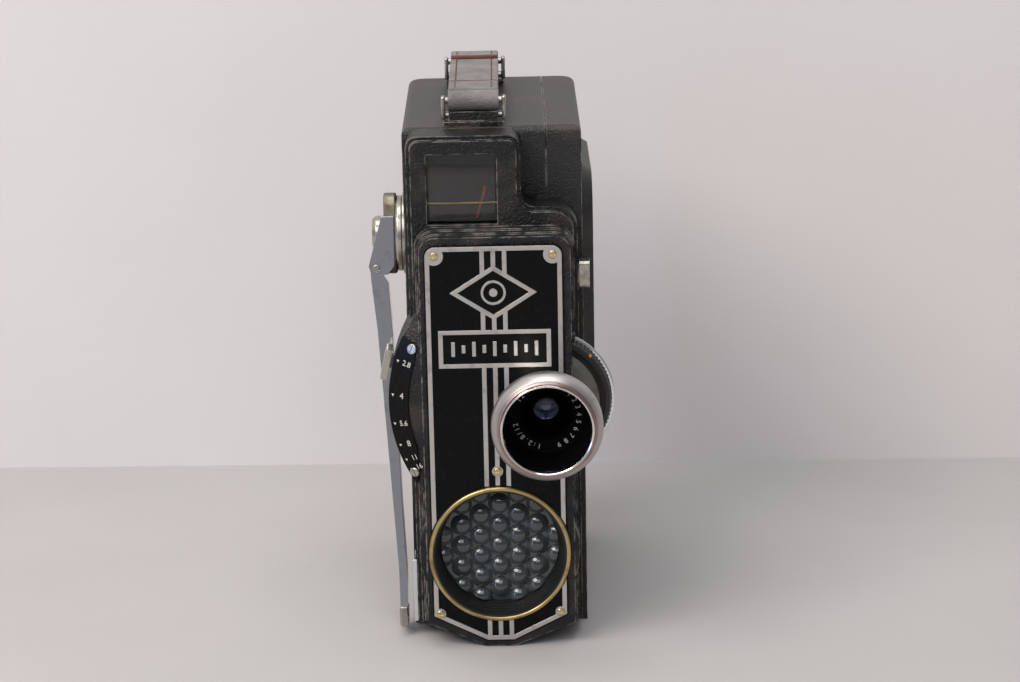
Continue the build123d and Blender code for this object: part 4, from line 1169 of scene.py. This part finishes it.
@dataclass
class LightCell:
    """Moulded honeycomb of lenslets in a grooved black funnel with a brass ring."""

    at: tuple[float, float] = (0.0, 29.5)
    pitch: float = 6.5
    dome: float = 3.75              # radius of a lenslet's sphere
    clear: float = 17.2             # radius that the domes are cut to

    def trim(self, dome: bmesh.types.BMesh) -> None:
        """Cut a dome at the funnel's wall with short flats.

        Args:
            dome: One dome, in millimetres.
        """
        for step in range(36):
            turn = 2 * math.pi * step / 36
            outwards = Vector((math.cos(turn), 0, math.sin(turn)))
            edge = Vector((self.at[0], 0, self.at[1])) + outwards * self.clear
            if all((vert.co - edge).dot(outwards) < 0 for vert in dome.verts):
                continue
            cut = bmesh.ops.bisect_plane(
                dome, geom=dome.verts[:] + dome.edges[:] + dome.faces[:], plane_co=edge, plane_no=outwards,
                clear_outer=True,
            )["geom_cut"]
            rim = [item for item in cut if isinstance(item, bmesh.types.BMEdge)]
            if rim:
                bmesh.ops.contextual_create(dome, geom=rim)

    def honeycomb(self) -> bmesh.types.BMesh:
        """Glass plate with its domes.

        Returns:
            The glass, in millimetres.
        """
        parts = [
            turned(
                self.at, [(0.0, 47.4), (18.6, 47.4), (18.6, 49.6), (17.3, 49.8), (17.3, 50.0), (0.0, 50.0)],
                96,
            ),
        ]
        for column in range(-3, 4):
            for row in range(-3, 4):
                x = column * self.pitch * math.cos(math.radians(30))
                z = (row + 0.5 * (column % 2)) * self.pitch
                if math.hypot(x, z) > 19.0:
                    continue
                dome = bmesh.new()
                bmesh.ops.create_uvsphere(dome, u_segments=32, v_segments=24, radius=self.dome)
                bmesh.ops.rotate(
                    dome, cent=(0, 0, 0), matrix=Matrix.Rotation(math.pi / 2, 3, "X"), verts=dome.verts,
                )
                bmesh.ops.translate(dome, vec=(self.at[0] + x, -48.2, self.at[1] + z), verts=dome.verts)
                below = bmesh.ops.bisect_plane(
                    dome, geom=dome.verts[:] + dome.edges[:] + dome.faces[:], plane_co=(0, -49.95, 0),
                    plane_no=(0, 1, 0), clear_outer=True,
                )["geom_cut"]
                rim = [item for item in below if isinstance(item, bmesh.types.BMEdge)]
                bmesh.ops.contextual_create(dome, geom=rim)
                if math.hypot(x, z) > 13.5:
                    self.trim(dome)
                parts.append(dome)
        return joined(parts)

    def build(self) -> None:
        """Build the cell from back to front."""
        dress(SELENIUM, "selenium_cell")
        to_piece("cell_lenslets", self.honeycomb(), CELL_GLASS, "camera", ("cell_glass",), 50)
        funnel = [(17.4, 49.8), (19.0, 49.8), (19.0, 57.35), (19.5, 57.35), (19.5, 58.3), (19.1, 58.3)]
        threads = []
        for step in range(5):
            threads += [(18.95 - step * 0.3, 57.4 - step * 1.4), (18.6 - step * 0.3, 56.7 - step * 1.4)]
        recess = turned(self.at, funnel + threads)
        to_piece("cell_funnel", recess, BLACKED, "camera", ("cell_recess",), 25)
        ring = turned(
            self.at,
            [
                (19.55, 57.3), (20.8, 57.3), (20.8, 58.0), (20.65, 58.4), (20.35, 58.6), (19.8, 58.6),
                (19.55, 58.35),
            ]
        )
        to_piece("cell_ring_brass", ring, RING_BRASS, "camera", ("cell_ring",), 50)
        dress(BLACKED, "meter_housing")
        dress(RED_PAINT, "meter_needle")


# ---------------------------------------------------------------- finder


@dataclass
class Finder:
    """Finder tunnel with its glasses."""

    window: tuple[float, float, float, float] = (-19.3, 1.7, 126.3, 147.7)     # x low, x high, z low, z high
    eyepiece: tuple[float, float] = (-8.8, 137.3)

    def lenses(self) -> bmesh.types.BMesh:
        """Square front lens, hollow towards the eye, and the round eye lens.

        Returns:
            Both lenses, in millimetres.
        """
        x_low, x_high, z_low, z_high = self.window
        front = bmesh.new()
        bmesh.ops.create_grid(front, x_segments=24, y_segments=24, size=0.5)
        bmesh.ops.rotate(
            front, cent=(0, 0, 0), matrix=Matrix.Rotation(math.pi / 2, 3, "X"), verts=front.verts,
        )
        bmesh.ops.scale(front, vec=(x_high - x_low, 1, z_high - z_low), verts=front.verts)
        for vert in front.verts:
            vert.co.y = -46.6 + 0.006 * (vert.co.x**2 + vert.co.z**2)
        bmesh.ops.translate(front, vec=((x_low + x_high) / 2, 0, (z_low + z_high) / 2), verts=front.verts)
        wall = bmesh.ops.extrude_face_region(front, geom=front.faces[:])["geom"]
        for item in wall:
            if isinstance(item, bmesh.types.BMVert):
                item.co.y = -45.1
        bmesh.ops.recalc_face_normals(front, faces=front.faces)
        eye = turned(
            self.eyepiece, [(0.0, -42.3), (3.9, -42.3), (3.9, -43.2), (2.6, -43.6), (0.0, -43.8)], 48,
        )
        return joined([front, eye])

    def build(self) -> None:
        """Dress the finder."""
        dress(FLAT_BLACK, "finder_tunnel")
        dress(BLACKED, "finder_eyepiece")
        to_piece(
            "finder_lenses", self.lenses(), CLEAR_GLASS, "camera", ("finder_glasses",), 30,
        )
        frame_line = boxed((-18.9, -43.3, 131.8), (1.3, -42.8, 132.3), 0.1, 1)
        to_piece("finder_frame_line", frame_line, BRASS, "camera", (), 30)


# ---------------------------------------------------------------- winding lever


@dataclass
class WindingLever:
    """Folding winding lever with its hub."""

    def build(self) -> None:
        """Plate the lever's pieces."""
        dress(NICKEL, "crank_escutcheon", "hub_screw")
        parts = (
            ("crank_arm", "lever_arm", CHROME, "chrome", 1.1),
            ("crank_cheeks", "crank", CHROME, "chrome", 0.35),
            ("crank_head", "crank", WORN_BRASS, "worn_brass", 0.5),
            ("crank_grip", "lever_arm", NICKEL, "nickel", 0.7),
            ("crank_hub", "crank", NICKEL, "nickel", 0.25),
            ("fold_pin", "crank", NICKEL, "nickel", 0.2),
            ("crank_rest", "camera", CHROME, "chrome", 0.25),
            ("release_button", "release", NICKEL, "nickel", 0.12),
        )
        for node, body, finish, slot, rounding in parts:
            piece = to_piece(f"{node}_finished", copied(node), finish, body, (node,), 30)
            soften(piece, rounding, 3)


# ---------------------------------------------------------------- carrying strap


@dataclass
class CarryingStrap:
    """Stitched leather strap in two plated rings."""

    middle: float = -5.0            # of its width, along X
    width: float = 14.6
    thick: float = 2.2
    eyes: tuple[float, float] = (-31.0, 32.0)
    eye_z: float = 159.6
    rise: float = 0.8
    fold: float = 10.5              # length of a folded end
    stitch: float = 2.1             # pitch of the stitches

    def height(self, y: float) -> float:
        """Height of the strap's underside.

        Args:
            y: Place along Y, mm.

        Returns:
            The height, mm.
        """
        span = (self.eyes[1] - self.eyes[0]) / 2
        centre = (self.eyes[0] + self.eyes[1]) / 2
        return self.eye_z + self.rise * (1 - ((y - centre) / span) ** 2)

    def band(self, low: float, high: float, lift: float, thick: float, inset: float) -> bmesh.types.BMesh:
        """One layer of leather that follows the strap's arch.

        Args:
            low: Its start along Y.
            high: Its end along Y.
            lift: Height of its underside over the strap's.
            thick: Thickness.
            inset: How much narrower than the strap on each side.

        Returns:
            The layer, in millimetres.
        """
        half = self.width / 2 - inset
        mesh = boxed(
            (self.middle - half, low, 0.0), (self.middle + half, high, thick), min(0.45, thick * 0.4), 3,
        )
        for step in range(1, 24):
            y = low + (high - low) * step / 24
            bmesh.ops.bisect_plane(
                mesh, geom=mesh.verts[:] + mesh.edges[:] + mesh.faces[:], plane_co=(0, y, 0),
                plane_no=(0, 1, 0)
            )
        for vert in mesh.verts:
            vert.co.z += self.height(vert.co.y) + lift
        return mesh

    def loop(self, y: float) -> bmesh.types.BMesh:
        """The bend of leather round a ring's bar.

        Args:
            y: Place of the bar along Y, mm.

        Returns:
            The bend, in millimetres.
        """
        mesh = bmesh.new()
        half = self.width / 2
        inner, outer = 1.3, 2.9
        corners = [mesh.verts.new((self.middle - half, y, self.eye_z + r)) for r in (inner, outer)]
        corners += [mesh.verts.new((self.middle + half, y, self.eye_z + r)) for r in (outer, inner)]
        edges = [mesh.edges.new(pair) for pair in zip(corners, corners[1:] + corners[:1])]
        bmesh.ops.spin(
            mesh, geom=corners + edges, cent=(self.middle, y, self.eye_z), axis=(1, 0, 0), angle=2 * math.pi,
            steps=40,
            use_merge=True, use_duplicate=False,
        )
        bmesh.ops.remove_doubles(mesh, verts=mesh.verts, dist=1e-4)
        bmesh.ops.recalc_face_normals(mesh, faces=mesh.faces)
        return mesh

    def stitches(self, low: float, high: float, lift: float) -> list[bmesh.types.BMesh]:
        """Two rows of stitches along one layer.

        Args:
            low: Start along Y, mm.
            high: End along Y, mm.
            lift: Height of the layer over the strap's underside, mm.

        Returns:
            One mesh for each stitch.
        """
        made = []
        count = int((high - low) / self.stitch)
        for side in (-1, 1):
            for step in range(count):
                y = low + (step + 0.5) * (high - low) / count
                thread = bmesh.new()
                bmesh.ops.create_uvsphere(thread, u_segments=8, v_segments=6, radius=0.28)
                bmesh.ops.scale(thread, vec=(1.0, 2.8, 0.7), verts=thread.verts)
                at = (self.middle + side * 5.3, y, self.height(y) + lift)
                bmesh.ops.translate(thread, vec=at, verts=thread.verts)
                made.append(thread)
        return made

    def ring(self, y: float) -> bmesh.types.BMesh:
        """One rectangular wire ring with rounded corners.

        Args:
            y: Place along Y, mm.

        Returns:
            The ring, in millimetres.
        """
        bars = []
        for z in (155.3, 159.6):
            bar = bmesh.new()
            bmesh.ops.create_cone(bar, cap_ends=True, segments=24, radius1=1.0, radius2=1.0, depth=18.6)
            bmesh.ops.rotate(
                bar, cent=(0, 0, 0), matrix=Matrix.Rotation(math.pi / 2, 3, "Y"), verts=bar.verts,
            )
            bmesh.ops.translate(bar, vec=(self.middle, y, z), verts=bar.verts)
            bars.append(bar)
        for side in (-1, 1):
            x = self.middle + side * 8.8
            bars.append(boxed((x - 0.6, y - 1.5, 154.0), (x + 0.6, y + 1.5, 160.9), 0.45, 3))
        return joined(bars)

    def build(self) -> None:
        """Build the strap, its folded ends, stitches and rings."""
        low, high = self.eyes
        layers = [self.band(low, high, 0.0, self.thick, 0.0), self.loop(low), self.loop(high)]
        strap = to_piece(
            "strap_leather", joined(layers), LEATHER, "camera", ("handle_strap",), 40
        )
        folds = joined(
            [
                self.band(low + 0.4, low + self.fold, self.thick - 0.1, 1.2, 0.15),
                self.band(high - self.fold, high - 0.4, self.thick - 0.1, 1.2, 0.15),
            ]
        )
        to_piece("strap_folded_ends", folds, LEATHER, "camera", (), 40)
        cuts = []
        for end, y in ((1, low + self.fold), (-1, high - self.fold)):
            cuts.append(self.band(min(y, y + end * 0.8), max(y, y + end * 0.8), self.thick - 0.1, 1.25, 0.2))
        to_piece("strap_cut_edges", joined(cuts), RAW_EDGE, "camera", (), 40)
        threads = self.stitches(low + self.fold + 1, high - self.fold - 1, self.thick)
        threads += self.stitches(low + 1.5, low + self.fold - 1, self.thick + 1.1)
        threads += self.stitches(high - self.fold + 1, high - 1.5, self.thick + 1.1)
        to_piece("strap_stitches", joined(threads), THREAD, "camera", (), 60)
        rings = to_piece(
            "strap_wire_rings", joined([self.ring(low), self.ring(high)]), NICKEL, "camera", ("strap_rings",),
            40
        )
        LOG.info("strap %s and rings %s done", strap.name, rings.name)


# ---------------------------------------------------------------- clockwork and film


@dataclass
class Mechanism:
    """Clockwork, shutter and film path behind the door."""

    def build(self) -> None:
        """Dress the inside."""
        dress(BRASS, "main_plate", "winding_gear", "spring_barrel", "first_wheel", "crown_wheel", "governor")
        dress(
            STEEL, "plate_pillars", "barrel_arbor", "mainspring", "takeup_spindle", "shutter_shaft",
            "film_gate",
        )
        dress(STEEL, "pressure_plate", "pulldown_claw", "release_spring")
        dress(BLACKED, "shutter_disc")
        dress(FILM_BOX, "film_cassette")


def main() -> None:
    """Build the studio and the camera, sub-assembly by sub-assembly."""
    logging.basicConfig(level=logging.INFO, format="%(message)s")
    Studio().build()
    CaseAndHousing().dress()
    Nameplate().build()
    LensUnit().build()
    ApertureScale().build()
    LightCell().build()
    Finder().build()
    WindingLever().build()
    CarryingStrap().build()
    Mechanism().build()


if __name__ == "__main__":
    main()
